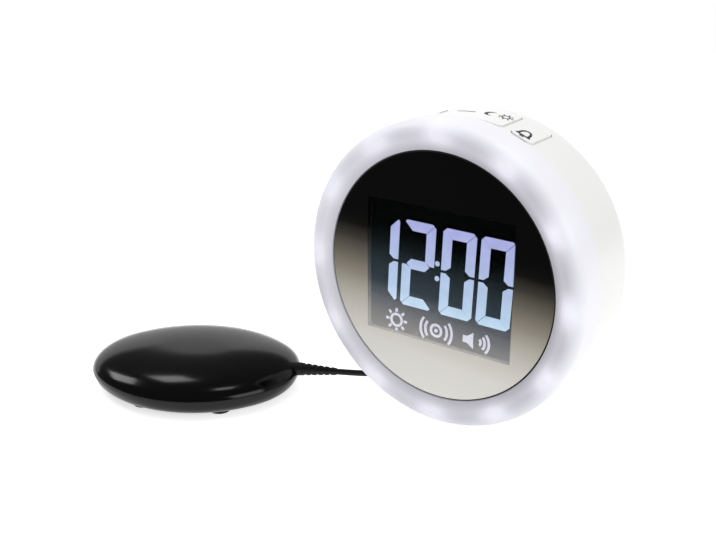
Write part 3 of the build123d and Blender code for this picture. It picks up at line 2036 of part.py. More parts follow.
def cord_pad_run():
    turn = math.radians(pad_turn)
    tip = (
        pad_centre_x + boot_tip * math.cos(turn),
        pad_centre_y + boot_tip * math.sin(turn),
        boot_axis_height,
    )
    guide = (
        tip[0] + boot_lead * math.cos(turn),
        tip[1] + boot_lead * math.sin(turn),
        boot_axis_height,
    )
    end = coil_point(0)
    lead = (end.X, end.Y - coil_lead, end.Z)
    return laid_cord("cord_pad_run", [tip, guide, *pad_run_points, lead, tuple(end)])


def cord_plug_run():
    start = coil_point(sum(coil_turn_shares))
    lead = (start.X, start.Y - plug_lead, start.Z)
    plug_y = plug_tail_rear - foot_middle
    plug_z = dial_height + socket_z
    before = (-socket_x, plug_y + plug_lead, plug_z)
    end = (-socket_x, plug_y, plug_z)
    return laid_cord("cord_plug_run", [tuple(start), lead, *plug_run_points, before, end])


# Tie round the coil
tie_width = 5.0
tie_angle = 100
tie_corner = 2.5


def cord_tie():
    """A flat strap round all the turns, with rounded corners."""
    swing = turn_pitch / 4
    inner = coil_outer_radius - coil_turn_shares[0] * turn_pitch / 2 - cord_diameter / 2 - tie_gap - swing
    outer = coil_outer_radius + cord_diameter / 2 + tie_gap + swing
    low = tie_thickness
    high = coil_high + cord_diameter / 2 + tie_gap
    half_width = (outer - inner) / 2
    half_height = (high - low) / 2
    middle = Pos((inner + outer) / 2, tie_width / 2, (low + high) / 2) * Rot(quarter_turn, 0, 0)
    hole = RectangleRounded(2 * half_width, 2 * half_height, tie_corner - tie_thickness)
    band = RectangleRounded(
        2 * (half_width + tie_thickness),
        2 * (half_height + tie_thickness),
        tie_corner,
    )
    strap = middle * extrude(band - hole, tie_width)
    return Pos(coil_centre_x, coil_centre_y, 0) * Rot(0, 0, tie_angle) * strap


os.makedirs("parts", exist_ok=True)

clock_place = Pos(0, -foot_middle, dial_height)
clock_nodes = {
    "light_ring": light_ring(),
    "dial_lens": dial_lens(),
    "lens_gasket": lens_gasket(),
    "front_frame": front_frame(),
    "led_board": led_board(),
    "ring_leds": ring_leds(),
    "lcd_holder": lcd_holder(),
    "lcd_glass": lcd_glass(),
    "lcd_digits": lcd_digits(),
    "lcd_icons": lcd_icons(),
    "backlight_diffuser": backlight_diffuser(),
    "elastomer_strips": elastomer_strips(),
    "main_board": main_board(),
    "main_board_parts": main_board_parts(),
    "rear_case": rear_case(),
    "foot_pad": foot_pad(),
    "case_screws": case_screws(),
    "board_screws": board_screws(),
    "rear_board": rear_board(),
    "rear_switches": rear_switches(),
    "control_pots": control_pots(),
    "mode_switch": mode_switch(),
    "mode_lever": mode_lever(),
    "top_board": top_board(),
    "top_switches": top_switches(),
    "snooze_bar": top_key("snooze"),
    "left_top_key": top_key("left"),
    "right_top_key": top_key("right"),
    "time_key": rear_key(key_places[0]),
    "alarm_key": rear_key(key_places[1]),
    "down_key": rear_key(key_places[2]),
    "up_key": rear_key(key_places[3]),
    "volume_knob": knob(-1),
    "tone_knob": knob(1),
    "dc_inlet": dc_inlet(),
    "shaker_jack": shaker_jack(),
    "plug_pin": plug_pin(),
    "plug_body": plug_body(),
    "speaker_frame": speaker_frame(),
    "speaker_magnet": speaker_magnet(),
    "speaker_cone": speaker_cone(),
    "speaker_surround": speaker_surround(),
    "coin_cell": coin_cell(),
    "battery_contacts": battery_contacts(),
    "battery_door": battery_door(),
    "ribbon_cable": ribbon_cable(),
}
pad_nodes = {
    "pad_upper_shell": pad_upper_shell(),
    "pad_lower_shell": pad_lower_shell(),
    "pad_feet": pad_feet(),
    "pad_screws": pad_screws(),
    "pad_boot": pad_boot(),
    "motor_can": motor_can(),
    "motor_clamp": motor_clamp(),
    "motor_shaft": motor_shaft(),
    "eccentric_weight": eccentric_weight(),
}
cord_nodes = {
    "cord_pad_run": cord_pad_run(),
    "cord_coil": cord_coil(),
    "cord_plug_run": cord_plug_run(),
    "cord_tie": cord_tie(),
}

for name, shape in clock_nodes.items():
    export_step(clock_place * shape, f"parts/{name}.step")
for name, shape in pad_nodes.items():
    export_step(pad_place() * shape, f"parts/{name}.step")
for name, shape in cord_nodes.items():
    export_step(shape, f"parts/{name}.step")
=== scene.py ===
import math

import bmesh
import bpy
from mathutils import Matrix, Vector


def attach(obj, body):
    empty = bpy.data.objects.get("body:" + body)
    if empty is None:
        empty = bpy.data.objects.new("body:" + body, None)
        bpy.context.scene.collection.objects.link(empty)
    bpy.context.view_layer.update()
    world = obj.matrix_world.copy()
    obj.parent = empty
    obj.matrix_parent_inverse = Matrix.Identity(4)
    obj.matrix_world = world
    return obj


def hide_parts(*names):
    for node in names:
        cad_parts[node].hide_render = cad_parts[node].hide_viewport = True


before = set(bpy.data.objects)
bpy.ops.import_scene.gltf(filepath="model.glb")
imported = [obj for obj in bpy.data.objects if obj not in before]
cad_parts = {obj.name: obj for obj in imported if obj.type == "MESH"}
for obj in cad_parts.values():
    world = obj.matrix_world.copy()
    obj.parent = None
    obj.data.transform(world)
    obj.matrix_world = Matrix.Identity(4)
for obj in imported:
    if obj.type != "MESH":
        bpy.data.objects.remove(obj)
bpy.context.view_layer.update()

# Camera: a short telephoto above the clock's right front, as the photograph was taken. The lens is
# worked out from the photograph's perspective for a picture 716 pixels wide.
MM = 0.001
camera_place = Vector((199.5, -348.1, 203.1)) * MM
camera_target = Vector((-20.9, -45.7, 61.7)) * MM
camera_roll = math.radians(0.15)
camera_lens = 57.8
camera_near = 10 * MM

camera = bpy.data.objects.new("camera", bpy.data.cameras.new("camera"))
bpy.context.scene.collection.objects.link(camera)
camera.data.lens = camera_lens
camera.data.clip_start = camera_near
facing = (camera_target - camera_place).to_track_quat("-Z", "Y").to_matrix().to_4x4()
camera.matrix_world = Matrix.Translation(camera_place) @ facing @ Matrix.Rotation(-camera_roll, 4, "Z")
bpy.context.scene.camera = camera
bpy.context.scene.view_settings.view_transform = "Standard"

# Studio: a pale floor and a white card behind it look white to the camera, while the floor keeps the
# shadows, and the white world is dimmer in reflections. A broad soft lamp hangs overhead and one stands
# at the right, and the three small ones give the pad's shoulder its highlights.
floor_radius = 0.80
floor_sides = 96
paper_hex = "f2f2f2"
white_hex = "ffffff"
floor_lift = 0.66
world_strength = 0.42
world_in_gloss = 0.16
card_distance = 1.45
card_half_width = 2.4
card_height = 0.72
card_glow = 1.0

# Each lamp's place and aim, the side of its square in metres, and its power in watts. The overhead one
# is kept out of reflections.
lamps = {
    "overhead": ((-0.10, 0.05, 1.10), (-0.05, 0.0, 0.0), 1.30, 6.7),
    "right_side": ((1.30, -0.25, 0.60), (0.0, 0.0, 0.06), 0.80, 6.4),
    "above": ((0.04, 0.10, 1.50), (-0.09, -0.05, 0.0), 0.24, 1.0),
    "left_back": ((-0.84, 0.36, 1.22), (-0.09, -0.05, 0.0), 0.26, 1.1),
    "left_side": ((-1.17, -0.18, 1.02), (-0.09, -0.05, 0.0), 0.44, 3.8),
}


def colour(hex_code):
    """An sRGB hex colour as linear values with full cover."""
    channels = [int(hex_code[at : at + 2], 16) / 255 for at in (0, 2, 4)]
    return (*[c / 12.92 if c <= 0.04045 else ((c + 0.055) / 1.055) ** 2.4 for c in channels], 1)


def feed(tree, node, inputs):
    """Sets a node's sockets, by name or number. An output is linked, and a node gives its first output."""
    for socket, value in inputs.items():
        if isinstance(value, bpy.types.Node):
            value = next(output for output in value.outputs if output.enabled)
        if isinstance(value, bpy.types.NodeSocket):
            tree.links.new(value, node.inputs[socket])
        else:
            node.inputs[socket].default_value = value


def add(tree, kind, inputs=None, **settings):
    """Adds a node with its settings, and then sets its sockets."""
    node = tree.nodes.new(kind)
    for name, value in settings.items():
        setattr(node, name, value)
    feed(tree, node, inputs or {})
    return node


def new_finish(name):
    """A new material, with its node tree and its shader."""
    finish = bpy.data.materials.new(name)
    finish.use_nodes = True
    return finish, finish.node_tree, finish.node_tree.nodes["Principled BSDF"]


def new_object(name, mesh):
    """A shown object for a finished mesh."""
    thing = bpy.data.objects.new(name, mesh)
    bpy.context.scene.collection.objects.link(thing)
    return thing


def seen_straight(tree, other_ray):
    """1 for the camera's rays and for one other kind of ray, and 0 for the rays that carry light."""
    path = add(tree, "ShaderNodeLightPath").outputs
    return add(tree, "ShaderNodeMath", {0: path["Is Camera Ray"], 1: path[other_ray]}, operation="MAXIMUM")


def studio_paper(name, glow, keeps_shadow):
    """Matt white paper, which glows to the camera and in gloss, on top of its shadows or without them."""
    finish, tree, shader = new_finish(name)
    feed(tree, shader, {"Base Color": colour(paper_hex), "Roughness": 0.9, "Specular IOR Level": 0.0})
    bright = add(tree, "ShaderNodeEmission", {"Color": colour(white_hex), "Strength": glow})
    if keeps_shadow:
        bright = add(tree, "ShaderNodeAddShader", {0: shader, 1: bright})
    straight = seen_straight(tree, "Is Glossy Ray")
    shown = add(tree, "ShaderNodeMixShader", {0: straight, 1: shader, 2: bright})
    feed(tree, tree.nodes["Material Output"], {"Surface": shown})
    return finish


def flat_sheet(name, corners, finish):
    """A flat sheet of the studio, from its corners in order."""
    mesh = bpy.data.meshes.new(name)
    mesh.from_pydata(corners, [], [range(len(corners))])
    mesh.materials.append(finish)
    new_object(name, mesh)


turns = [2 * math.pi * side / floor_sides for side in range(floor_sides)]
floor_corners = [(floor_radius * math.cos(turn), floor_radius * math.sin(turn), 0) for turn in turns]
flat_sheet("studio_floor", floor_corners, studio_paper("studio_paper", floor_lift, keeps_shadow=True))

# Card: it stands square to the camera's line of sight, beyond the clock
sight = (camera_target - camera_place) * Vector((1, 1, 0))
sight.normalize()
aside = Vector((sight.y, -sight.x, 0)) * card_half_width
card_left, card_right = sight * card_distance - aside, sight * card_distance + aside
card_top = Vector((0, 0, card_height))
card_corners = [card_left, card_right, card_right + card_top, card_left + card_top]
flat_sheet("studio_card", card_corners, studio_paper("white_card", card_glow, keeps_shadow=False))

world = bpy.data.worlds.new("studio")
bpy.context.scene.world = world
world.use_nodes = True
sky = world.node_tree
light_sky = sky.nodes["Background"]
in_gloss = add(sky, "ShaderNodeLightPath").outputs["Is Glossy Ray"]
dimmed = add(sky, "ShaderNodeMapRange", {"Value": in_gloss, "To Min": world_strength,
                                         "To Max": world_in_gloss})
feed(sky, light_sky, {"Color": colour(white_hex), "Strength": dimmed})
white_sky = add(sky, "ShaderNodeBackground", {"Color": colour(white_hex), "Strength": 1.0})
straight = seen_straight(sky, "Is Transmission Ray")
seen_sky = add(sky, "ShaderNodeMixShader", {0: straight, 1: light_sky, 2: white_sky})
feed(sky, sky.nodes["World Output"], {"Surface": seen_sky})

for lamp_name, (place, target, size, power) in lamps.items():
    lamp = bpy.data.objects.new(lamp_name, bpy.data.lights.new(lamp_name, "AREA"))
    bpy.context.scene.collection.objects.link(lamp)
    lamp.data.shape = "SQUARE"
    lamp.data.size = size
    lamp.data.energy = power
    aim = (Vector(target) - Vector(place)).to_track_quat("-Z", "Y").to_matrix().to_4x4()
    lamp.matrix_world = Matrix.Translation(place) @ aim
    lamp.visible_glossy = lamp_name != "overhead"

# Rear case: the cup of the clock, moulded in white ABS with a fine satin face. The light ring and the
# dial close it in front, and its foot, key openings, grille and battery well are moulded with it.
dial_height = 57.3 * MM
foot_middle = 27.0 * MM
smooth_angle = math.radians(24)
weld_distance = 0.002 * MM
case_hex = "f1f1f0"
key_hex = "f3f3f2"


def moulded(name, hex_code, roughness, grain=0.4, depth=0.02, spread=0.06, specular=0.5, metallic=0.0):
    """A moulded finish: one colour, with a fine grain in its roughness and its face, sized in mm."""
    finish, tree, shader = new_finish(name)
    place = add(tree, "ShaderNodeTexCoord").outputs["Object"]
    noise = add(tree, "ShaderNodeTexNoise", {"Vector": place, "Scale": 1 / (grain * MM), "Detail": 3.0,
                                             "Roughness": 0.6})
    rough = add(tree, "ShaderNodeMapRange", {"Value": noise, "To Min": roughness - spread,
                                             "To Max": roughness + spread})
    bump = add(tree, "ShaderNodeBump", {"Height": noise, "Distance": depth * MM, "Strength": 0.35})
    feed(tree, shader, {"Base Color": colour(hex_code), "Specular IOR Level": specular,
                        "Metallic": metallic, "Roughness": rough, "Normal": bump})
    return finish


def new_tree(name, inputs):
    """A Geometry Nodes tree and its given values. inputs maps a name to a kind of socket and a value."""
    tree = bpy.data.node_groups.new(name, "GeometryNodeTree")
    tree.interface.new_socket("Geometry", in_out="INPUT", socket_type="NodeSocketGeometry")
    for input_name, (kind, value) in inputs.items():
        socket = tree.interface.new_socket(input_name, in_out="INPUT", socket_type=f"NodeSocket{kind}")
        if value is not None:
            socket.default_value = value
    tree.interface.new_socket("Geometry", in_out="OUTPUT", socket_type="NodeSocketGeometry")
    return tree, add(tree, "NodeGroupInput").outputs


def smoothing_tree():
    """Welds a CAD node's loose triangles and shades its curved faces smooth, without moving a point."""
    tree, given = new_tree("weld_and_smooth", {
        "Weld Distance": ("Float", weld_distance),
        "Sharp Angle": ("Float", smooth_angle),
    })
    weld = add(tree, "GeometryNodeMergeByDistance", {"Geometry": given["Geometry"],
                                                     "Distance": given["Weld Distance"]})
    corner = add(tree, "GeometryNodeInputMeshEdgeAngle")
    smooth = add(tree, "FunctionNodeCompare", {0: corner, 1: given["Sharp Angle"]}, operation="LESS_EQUAL")
    faces = add(tree, "GeometryNodeSetShadeSmooth", {"Geometry": weld, "Shade Smooth": True})
    edges = add(tree, "GeometryNodeSetShadeSmooth", {"Geometry": faces, "Shade Smooth": smooth},
                domain="EDGE")
    add(tree, "NodeGroupOutput", {0: edges})
    return tree


weld_and_smooth = smoothing_tree()


def dress(node_names, finish):
    """Gives CAD nodes their finish, and shades their curved faces smooth."""
    for name in node_names:
        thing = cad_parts[name]
        thing.data.materials.clear()
        thing.data.materials.append(finish)
        smoother = thing.modifiers.new("weld_and_smooth", "NODES")
        smoother.node_group = weld_and_smooth


# Satin ABS, moulded: white with a soft, slightly broken highlight
satin_white_abs = moulded("satin_white_abs", case_hex, 0.34, grain=0.5, depth=0.012, spread=0.04)
dress(["rear_case"], satin_white_abs)

# The top keys and the battery door are smoother: a shade whiter, with a tighter highlight
satin_white_keys = moulded("satin_white_keys", key_hex, 0.30, grain=0.5, depth=0.010, spread=0.04)
dress(["snooze_bar", "left_top_key", "right_top_key", "battery_door"], satin_white_keys)

# Foot: a moulded rubber sole under the case, so that the clock doesn't creep while it rings. The rubber is
# dark grey, matt and grainy, and the pad's four feet are cut from it too.
sole_rubber = moulded("sole_rubber", "3a3a3c", 0.75, grain=0.3, depth=0.03, spread=0.08, specular=0.3)
dress(["foot_pad", "pad_feet"], sole_rubber)

# Light ring: clear acrylic moulded with a frosted face, lit from behind by a lamp at each hour. It is
# turned here from the same outline as its solid, with more steps, so that its edge shows round.
ring_radius = 56.35 * MM
ring_round = 4.75 * MM
ring_crown = 1.9 * MM
ring_rear = 12.2 * MM
ring_wall = 2.0 * MM
ring_bore = 46.15 * MM
ring_lip_rise = 0.3 * MM
ring_land = 10.2 * MM
shelf_bore = 43.5 * MM
shelf_front = 2.5 * MM
shelf_rear = 4.3 * MM
ring_steps = 288
arc_steps = 14
lamp_circle = 51.8 * MM
lamp_turn = math.radians(30)
glow_width = 6.4 * MM
glow_reach = 3.8 * MM
glow_depth = ring_rear / 2
# Painted shade near the dial: how far it reaches and how dark it gets
edge_shade_width = 3.4 * MM
edge_shade = 0.78
# Painted light on the ring's left and painted shade on its right
ring_lit_left_hex = "d8d7df"
ring_shaded_right_hex = "b9b8c0"
# Painted light: the lighter colour of the ring's outer round
ring_lit_round_hex = "dfdfe3"
# Painted lamp light: the lighter colour over each lamp, on top of its glow
ring_lamp_lit_hex = "e6e5ee"
ring_glow_hex = "f1f0ff"
ring_glow = 0.16
lamp_glow = 0.16
cloud_size = 7.0 * MM
cloud_reach = 0.4
frost_grain = 0.35 * MM
frost_depth = 0.01 * MM


def arc(centre, radius, start, end, steps=arc_steps):
    """Points of an arc in a flat outline, angles in degrees."""
    turns = [math.radians(start + (end - start) * step / steps) for step in range(steps + 1)]
    return [(centre[0] + radius * math.cos(turn), centre[1] + radius * math.sin(turn)) for turn in turns]


def skin(shape, rings, closed):
    """Faces between neighbouring rings of points, closed to a loop or with a flat face at each end."""
    pairs = list(zip(rings, rings[1:]))
    if closed:
        pairs.append((rings[-1], rings[0]))
    for near, far in pairs:
        for at in range(len(near)):
            after = (at + 1) % len(near)
            shape.faces.new((near[at], near[after], far[after], far[at]))
    if not closed:
        shape.faces.new(rings[0])
        shape.faces.new(rings[-1][::-1])


def merge(shape):
    """Merges points that meet, as on an axis, and takes away the faces that they leave without a width."""
    bmesh.ops.remove_doubles(shape, verts=shape.verts, dist=weld_distance)
    bmesh.ops.dissolve_degenerate(shape, dist=weld_distance, edges=shape.edges)


def shade(thing):
    """Shades curved faces smooth and keeps real edges sharp."""
    thing.data.shade_smooth()
    thing.data.set_sharp_from_angle(angle=smooth_angle)


def made(name, shape, finish, place=Matrix()):
    """A shown object from a shape, with its faces outwards, put in its place."""
    bmesh.ops.recalc_face_normals(shape, faces=shape.faces)
    mesh = bpy.data.meshes.new(name)
    shape.to_mesh(mesh)
    shape.free()
    mesh.transform(place)
    mesh.materials.append(finish)
    return new_object(name, mesh)


def lathe(name, outline, axis_place, axis, steps, finish):
    """A closed outline of (radius, way along the axis) turned about an axis of the frame."""
    shape = bmesh.new()
    along = Vector(axis).normalized()
    side = along.orthogonal().normalized()
    up = along.cross(side)
    rings = []
    for step in range(steps):
        turn = 2 * math.pi * step / steps
        out = side * math.cos(turn) + up * math.sin(turn)
        rings.append([shape.verts.new(Vector(axis_place) + out * r + along * a) for r, a in outline])
    skin(shape, rings, closed=True)
    merge(shape)
    thing = made(name, shape, finish)
    shade(thing)
    return thing


def tangent_arc(start, heading, end, steps=arc_steps):
    """Points of the arc that leaves start in a heading and reaches end."""
    span = Vector(end) - Vector(start)
    normal = Vector((-heading[1], heading[0]))
    radius = span.length_squared / (2 * span.dot(normal))
    centre = Vector(start) + normal * radius
    first = Vector(start) - centre
    last = Vector(end) - centre
    turn = math.atan2(first.x * last.y - first.y * last.x, first.dot(last))
    points = []
    for step in range(steps + 1):
        spun = Matrix.Rotation(turn * step / steps, 2) @ first
        points.append((centre.x + spun.x, centre.y + spun.y))
    return points


def about_dial(tree):
    """The place on the piece, its parts about the middle of the dial's front, and its way off the axis."""
    place = add(tree, "ShaderNodeTexCoord").outputs["Object"]
    centred = add(tree, "ShaderNodeMapping", {"Vector": place, "Location": (0, foot_middle, -dial_height)})
    parts = add(tree, "ShaderNodeSeparateXYZ", {0: centred}).outputs
    flat = add(tree, "ShaderNodeCombineXYZ", {"X": parts["X"], "Z": parts["Z"]})
    radius = add(tree, "ShaderNodeVectorMath", {0: flat}, operation="LENGTH")
    return place, parts, radius


def lamp_patches(tree, place, parts, radius):
    """How bright the ring is over its lamps: brightest in front of a lamp, falling off round it."""
    angle = add(tree, "ShaderNodeMath", {0: parts["Z"], 1: parts["X"]}, operation="ARCTAN2")
    off_lamp = add(tree, "ShaderNodeMath", {0: angle, 1: lamp_turn / 2}, operation="PINGPONG")
    across = add(tree, "ShaderNodeMath", {0: off_lamp, 1: lamp_circle}, operation="MULTIPLY")
    inward = add(tree, "ShaderNodeMath", {0: radius, 1: lamp_circle}, operation="SUBTRACT")
    backward = add(tree, "ShaderNodeMath", {0: parts["Y"], 1: 0.0}, operation="MAXIMUM")
    way = add(tree, "ShaderNodeCombineXYZ", {"X": across, "Y": inward, "Z": backward})
    share = add(tree, "ShaderNodeVectorMath", {0: way, 1: (glow_width, glow_reach, glow_depth)},
                operation="DIVIDE")
    square = add(tree, "ShaderNodeVectorMath", {0: share, 1: share}, operation="DOT_PRODUCT")
    fall = add(tree, "ShaderNodeMath", {0: square, 1: -1.0}, operation="MULTIPLY")
    patch = add(tree, "ShaderNodeMath", {0: fall}, operation="EXPONENT")
    cloud = add(tree, "ShaderNodeTexNoise", {"Vector": place, "Scale": 1 / cloud_size, "Detail": 2.0})
    uneven = add(tree, "ShaderNodeMapRange", {"Value": cloud, "To Min": 1 - cloud_reach,
                                              "To Max": 1 + cloud_reach})
    return add(tree, "ShaderNodeMath", {0: patch, 1: uneven}, operation="MULTIPLY")


def frosted_acrylic():
    """Frosted acrylic: milky lavender, with painted shade at the dial and towards the right, painted light
    on its outer round, and a bright patch over each lamp that glows and is also painted into its colour.
    """
    finish, tree, shader = new_finish("frosted_acrylic")
    place, parts, radius = about_dial(tree)
    patch = lamp_patches(tree, place, parts, radius)
    # Painted shade: the ring's colour darkens towards the right
    right_shade_share = add(tree, "ShaderNodeMapRange", {"Value": parts["X"], "From Min": -ring_bore,
                                                 "From Max": ring_bore})
    # Painted light: the colour lightens over the outer round, from the front face outwards
    side = add(tree, "ShaderNodeMapRange", {"Value": radius, "From Min": ring_face,
                                            "From Max": ring_radius})
    # Painted shade: the colour and the glow darken towards the dial's edge
    dial_shade = add(tree, "ShaderNodeMapRange", {"Value": radius, "From Min": ring_bore,
                                                  "From Max": ring_bore + edge_shade_width,
                                                  "To Min": edge_shade, "To Max": 1.0})
    # Body colour: painted shade to the right, painted light on the outer round and painted lamp light over
    # each lamp
    body = colour(ring_lit_left_hex)
    for factor, hex_code in ((right_shade_share, ring_shaded_right_hex), (side, ring_lit_round_hex), (patch, ring_lamp_lit_hex)):
        body = add(tree, "ShaderNodeMix", {"Factor": factor, "A": body, "B": colour(hex_code)},
                   data_type="RGBA")
    body = add(tree, "ShaderNodeMix", {"Factor": 1.0, "A": body, "B": dial_shade}, data_type="RGBA",
               blend_type="MULTIPLY")
    glow = add(tree, "ShaderNodeMath", {0: patch, 1: lamp_glow, 2: ring_glow}, operation="MULTIPLY_ADD")
    light = add(tree, "ShaderNodeMath", {0: glow, 1: dial_shade}, operation="MULTIPLY")
    frost = add(tree, "ShaderNodeTexNoise", {"Vector": place, "Scale": 1 / frost_grain})
    bump = add(tree, "ShaderNodeBump", {"Height": frost, "Distance": frost_depth, "Strength": 0.3})
    feed(tree, shader, {"Base Color": body, "Roughness": 0.4, "Specular IOR Level": 0.35, "Normal": bump,
                        "Emission Color": colour(ring_glow_hex), "Emission Strength": light})
    return finish


ring_face = ring_radius - ring_round
inner_round = ring_round - ring_wall
channel_outer = ring_radius - ring_wall
channel_inner = ring_bore + ring_wall
arc_middle = (ring_face, ring_round - ring_crown)
ring_outline = arc(arc_middle, ring_round, -90, 0)
ring_outline += [(ring_radius, ring_rear), (channel_outer, ring_rear)]
ring_outline += arc(arc_middle, inner_round, 0, -90)
ring_outline += [(channel_inner, ring_wall - ring_crown), (channel_inner, ring_land)]
ring_outline += [(ring_bore, ring_land), (ring_bore, shelf_rear)]
ring_outline += [(shelf_bore, shelf_rear), (shelf_bore, shelf_front), (ring_bore, shelf_front)]
lip = (ring_bore, -ring_lip_rise)
ring_outline += tangent_arc((ring_face, -ring_crown), (-1, 0), lip)[:0:-1]
dial_front = (0, -foot_middle, dial_height)
light_ring = lathe("light_ring_frosted", ring_outline, dial_front, (0, 1, 0), ring_steps, frosted_acrylic())
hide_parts("light_ring")
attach(light_ring, "clock")

# Dial: a disc of half-mirror acrylic, bonded to the ring's shelf. It has a painted reflection, dark above
# and a warm grey below, and its backing is left clear over the display, so that the lit figures show
# through.
dial_radius = 46.0 * MM
dial_thickness = 2.0 * MM
dial_edge = 0.4 * MM
window_half_width = 30.2 * MM
window_half_height = 25.5 * MM
window_blur = 0.4 * MM
window_clear = 0.5
rim_line = 0.5 * MM
rim_hex = "35342f"
reflection_slope = 0.075
dial_roughness = (0.04, 0.09)
speck_size = 3.0 * MM

# Painted reflection down the dial and over the display's window: tones, each from its height above the
# dial's middle in mm
dial_reflection_tones = (
    (-44, "fbfaf3"),
    (-32, "f3f1e9"),
    (-24, "e3ded6"),
    (-16, "c9c4b8"),
    (-8, "9d978a"),
    (0, "6f6a5f"),
    (6, "403d37"),
    (11, "100f0e"),
    (16, "030303"),
)
window_reflection_tones = (
    (-26, "e8e6e2"),
    (-20, "c9c9ca"),
    (-15, "a3a7ad"),
    (-8, "566571"),
    (0, "414f55"),
    (8, "1c2426"),
    (13, "060708"),
)


def reflection_ramp(tree, level, tones):
    """The painted reflection's colours down the dial, from heights in mm with their hex codes."""
    low, high = tones[0][0] * MM, tones[-1][0] * MM
    share = add(tree, "ShaderNodeMapRange", {"Value": level, "From Min": low, "From Max": high})
    ramp = add(tree, "ShaderNodeValToRGB", {0: share})
    stops = ramp.color_ramp.elements
    stops[0].color = colour(tones[0][1])
    stops[1].color = colour(tones[-1][1])
    for height, hex_code in tones[1:-1]:
        stops.new((height * MM - low) / (high - low)).color = colour(hex_code)
    return ramp


def window_area(tree, parts):
    """1 over the display's window and 0 round it, with a soft edge."""
    sides = []
    for part, half in (("X", window_half_width), ("Z", window_half_height)):
        reach = add(tree, "ShaderNodeMath", {0: parts[part]}, operation="ABSOLUTE")
        sides.append(add(tree, "ShaderNodeMapRange", {"Value": reach, "From Min": half - window_blur,
                                                      "From Max": half, "To Min": 1.0, "To Max": 0.0}))
    return add(tree, "ShaderNodeMath", {0: sides[0], 1: sides[1]}, operation="MULTIPLY")


def half_mirror():
    """Half-mirror acrylic: a painted reflection runs down the dial, and a share of the display shows
    through.
    """
    finish, tree, shader = new_finish("half_mirror_acrylic")
    place, parts, radius = about_dial(tree)
    # The painted reflection's level: the height on the dial, tilted a little with the way across
    level = add(tree, "ShaderNodeMath", {0: parts["X"], 1: reflection_slope, 2: parts["Z"]},
                operation="MULTIPLY_ADD")
    window = window_area(tree, parts)
    # Painted reflection: one ramp round the window and a darker one over it
    tone = add(tree, "ShaderNodeMix", {"Factor": window, "A": reflection_ramp(tree, level, dial_reflection_tones),
                                       "B": reflection_ramp(tree, level, window_reflection_tones)}, data_type="RGBA")
    rim = add(tree, "ShaderNodeMath", {0: radius, 1: dial_radius - rim_line}, operation="GREATER_THAN")
    tone = add(tree, "ShaderNodeMix", {"Factor": rim, "A": tone, "B": colour(rim_hex)}, data_type="RGBA")
    speck = add(tree, "ShaderNodeTexNoise", {"Vector": place, "Scale": 1 / speck_size, "Detail": 2.0})
    rough = add(tree, "ShaderNodeMapRange", {"Value": speck, "To Min": dial_roughness[0],
                                             "To Max": dial_roughness[1]})
    feed(tree, shader, {"Base Color": tone, "Roughness": rough, "Specular IOR Level": 0.02})
    inside = add(tree, "ShaderNodeNewGeometry").outputs["Backfacing"]
    share = add(tree, "ShaderNodeMath", {0: inside, 1: window_clear}, operation="MAXIMUM")
    clear = add(tree, "ShaderNodeMath", {0: window, 1: share}, operation="MULTIPLY")
    through = add(tree, "ShaderNodeBsdfTransparent")
    mixed = add(tree, "ShaderNodeMixShader", {0: clear, 1: shader, 2: through})
    feed(tree, tree.nodes["Material Output"], {"Surface": mixed})
    return finish


dial_outline = [(0, 0), (dial_radius - dial_edge, 0), (dial_radius, dial_edge)]
dial_outline += [(dial_radius, dial_thickness), (0, dial_thickness)]
dial = lathe("dial_half_mirror", dial_outline, dial_front, (0, 1, 0), ring_steps, half_mirror())
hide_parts("dial_lens")
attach(dial, "clock")

# Dial seal: a ring of black foam tape between the disc and the shelf, which takes up their play. The
# tape is matt black and gives no highlight.
seal_foam = moulded("seal_foam", "0c0c0c", 0.85, grain=0.3, depth=0.04, specular=0.2)
dress(["lens_gasket"], seal_foam)

# Display: a glass cell of black background in a moulded black frame, with lit figures, a white
# diffuser behind, and rubber contact strips above and below. The figures lean a little, and their
# bars meet at mitred corners.
figure_front = 2.5 * MM - foot_middle
figure_thickness = 0.2 * MM

# Sizes of the figures and icons in their own plane, in mm from the middle of the dial
digit_width = 13.5
digit_low = -14.4
digit_high = 18.4
digit_lean = 0.045
digit_pitch = 15.3
digit_first = -32.0
colon_room = 1.2
bar_width = 3.75
bar_nick = 0.12
bar_break = 0.55
corner_cut = 1.3
colon_x = -1.8
colon_radius = 0.95
colon_heights = (4.4, -1.2)
shown_digits = ("bc", "abged", "abcdef", "abcdef")
icon_row = -21.3
icon_line = 0.95
longest_step = 0.8
lit_top_hex = "bdc3fb"
lit_low_hex = "c9e4fb"
lit_strength = 1.55
unlit_hex = "20242c"
lit_unevenness = 0.14
lit_cell_size = 5.0 * MM
icon_hex = "edebff"
icon_strength = 1.15


def arc_path(radius, start=0, end=360, centre=(0, 0), steps=28):
    """Points of an arc about a centre, angles in degrees. A full turn comes back to its start."""
    return [Vector(point) for point in arc(centre, radius, start, end, steps)]


def stroke(path, width, closed=False):
    """The faces of a line of even width along a path."""
    corners_on = [Vector(point) for point in path]
    count = len(corners_on)
    points = []
    for at in range(count if closed else count - 1):
        start, end = corners_on[at], corners_on[(at + 1) % count]
        cuts = max(1, math.ceil((end - start).length / longest_step))
        points += [start.lerp(end, cut / cuts) for cut in range(cuts)]
    if not closed:
        points.append(corners_on[-1])
    count = len(points)
    sides = []
    for at, point in enumerate(points):
        before = points[at - 1] if at or closed else point
        after = points[(at + 1) % count] if at < count - 1 or closed else point
        along = (after - before).normalized()
        out = Vector((-along.y, along.x)) * width / 2
        sides.append((point + out, point - out))
    faces = []
    for at in range(count if closed else count - 1):
        (a, b), (c, d) = sides[at], sides[(at + 1) % count]
        faces.append([a, b, d, c])
    return faces


def disc(radius, centre=(0, 0)):
    """One round face."""
    return [arc_path(radius, centre=centre)[:-1]]


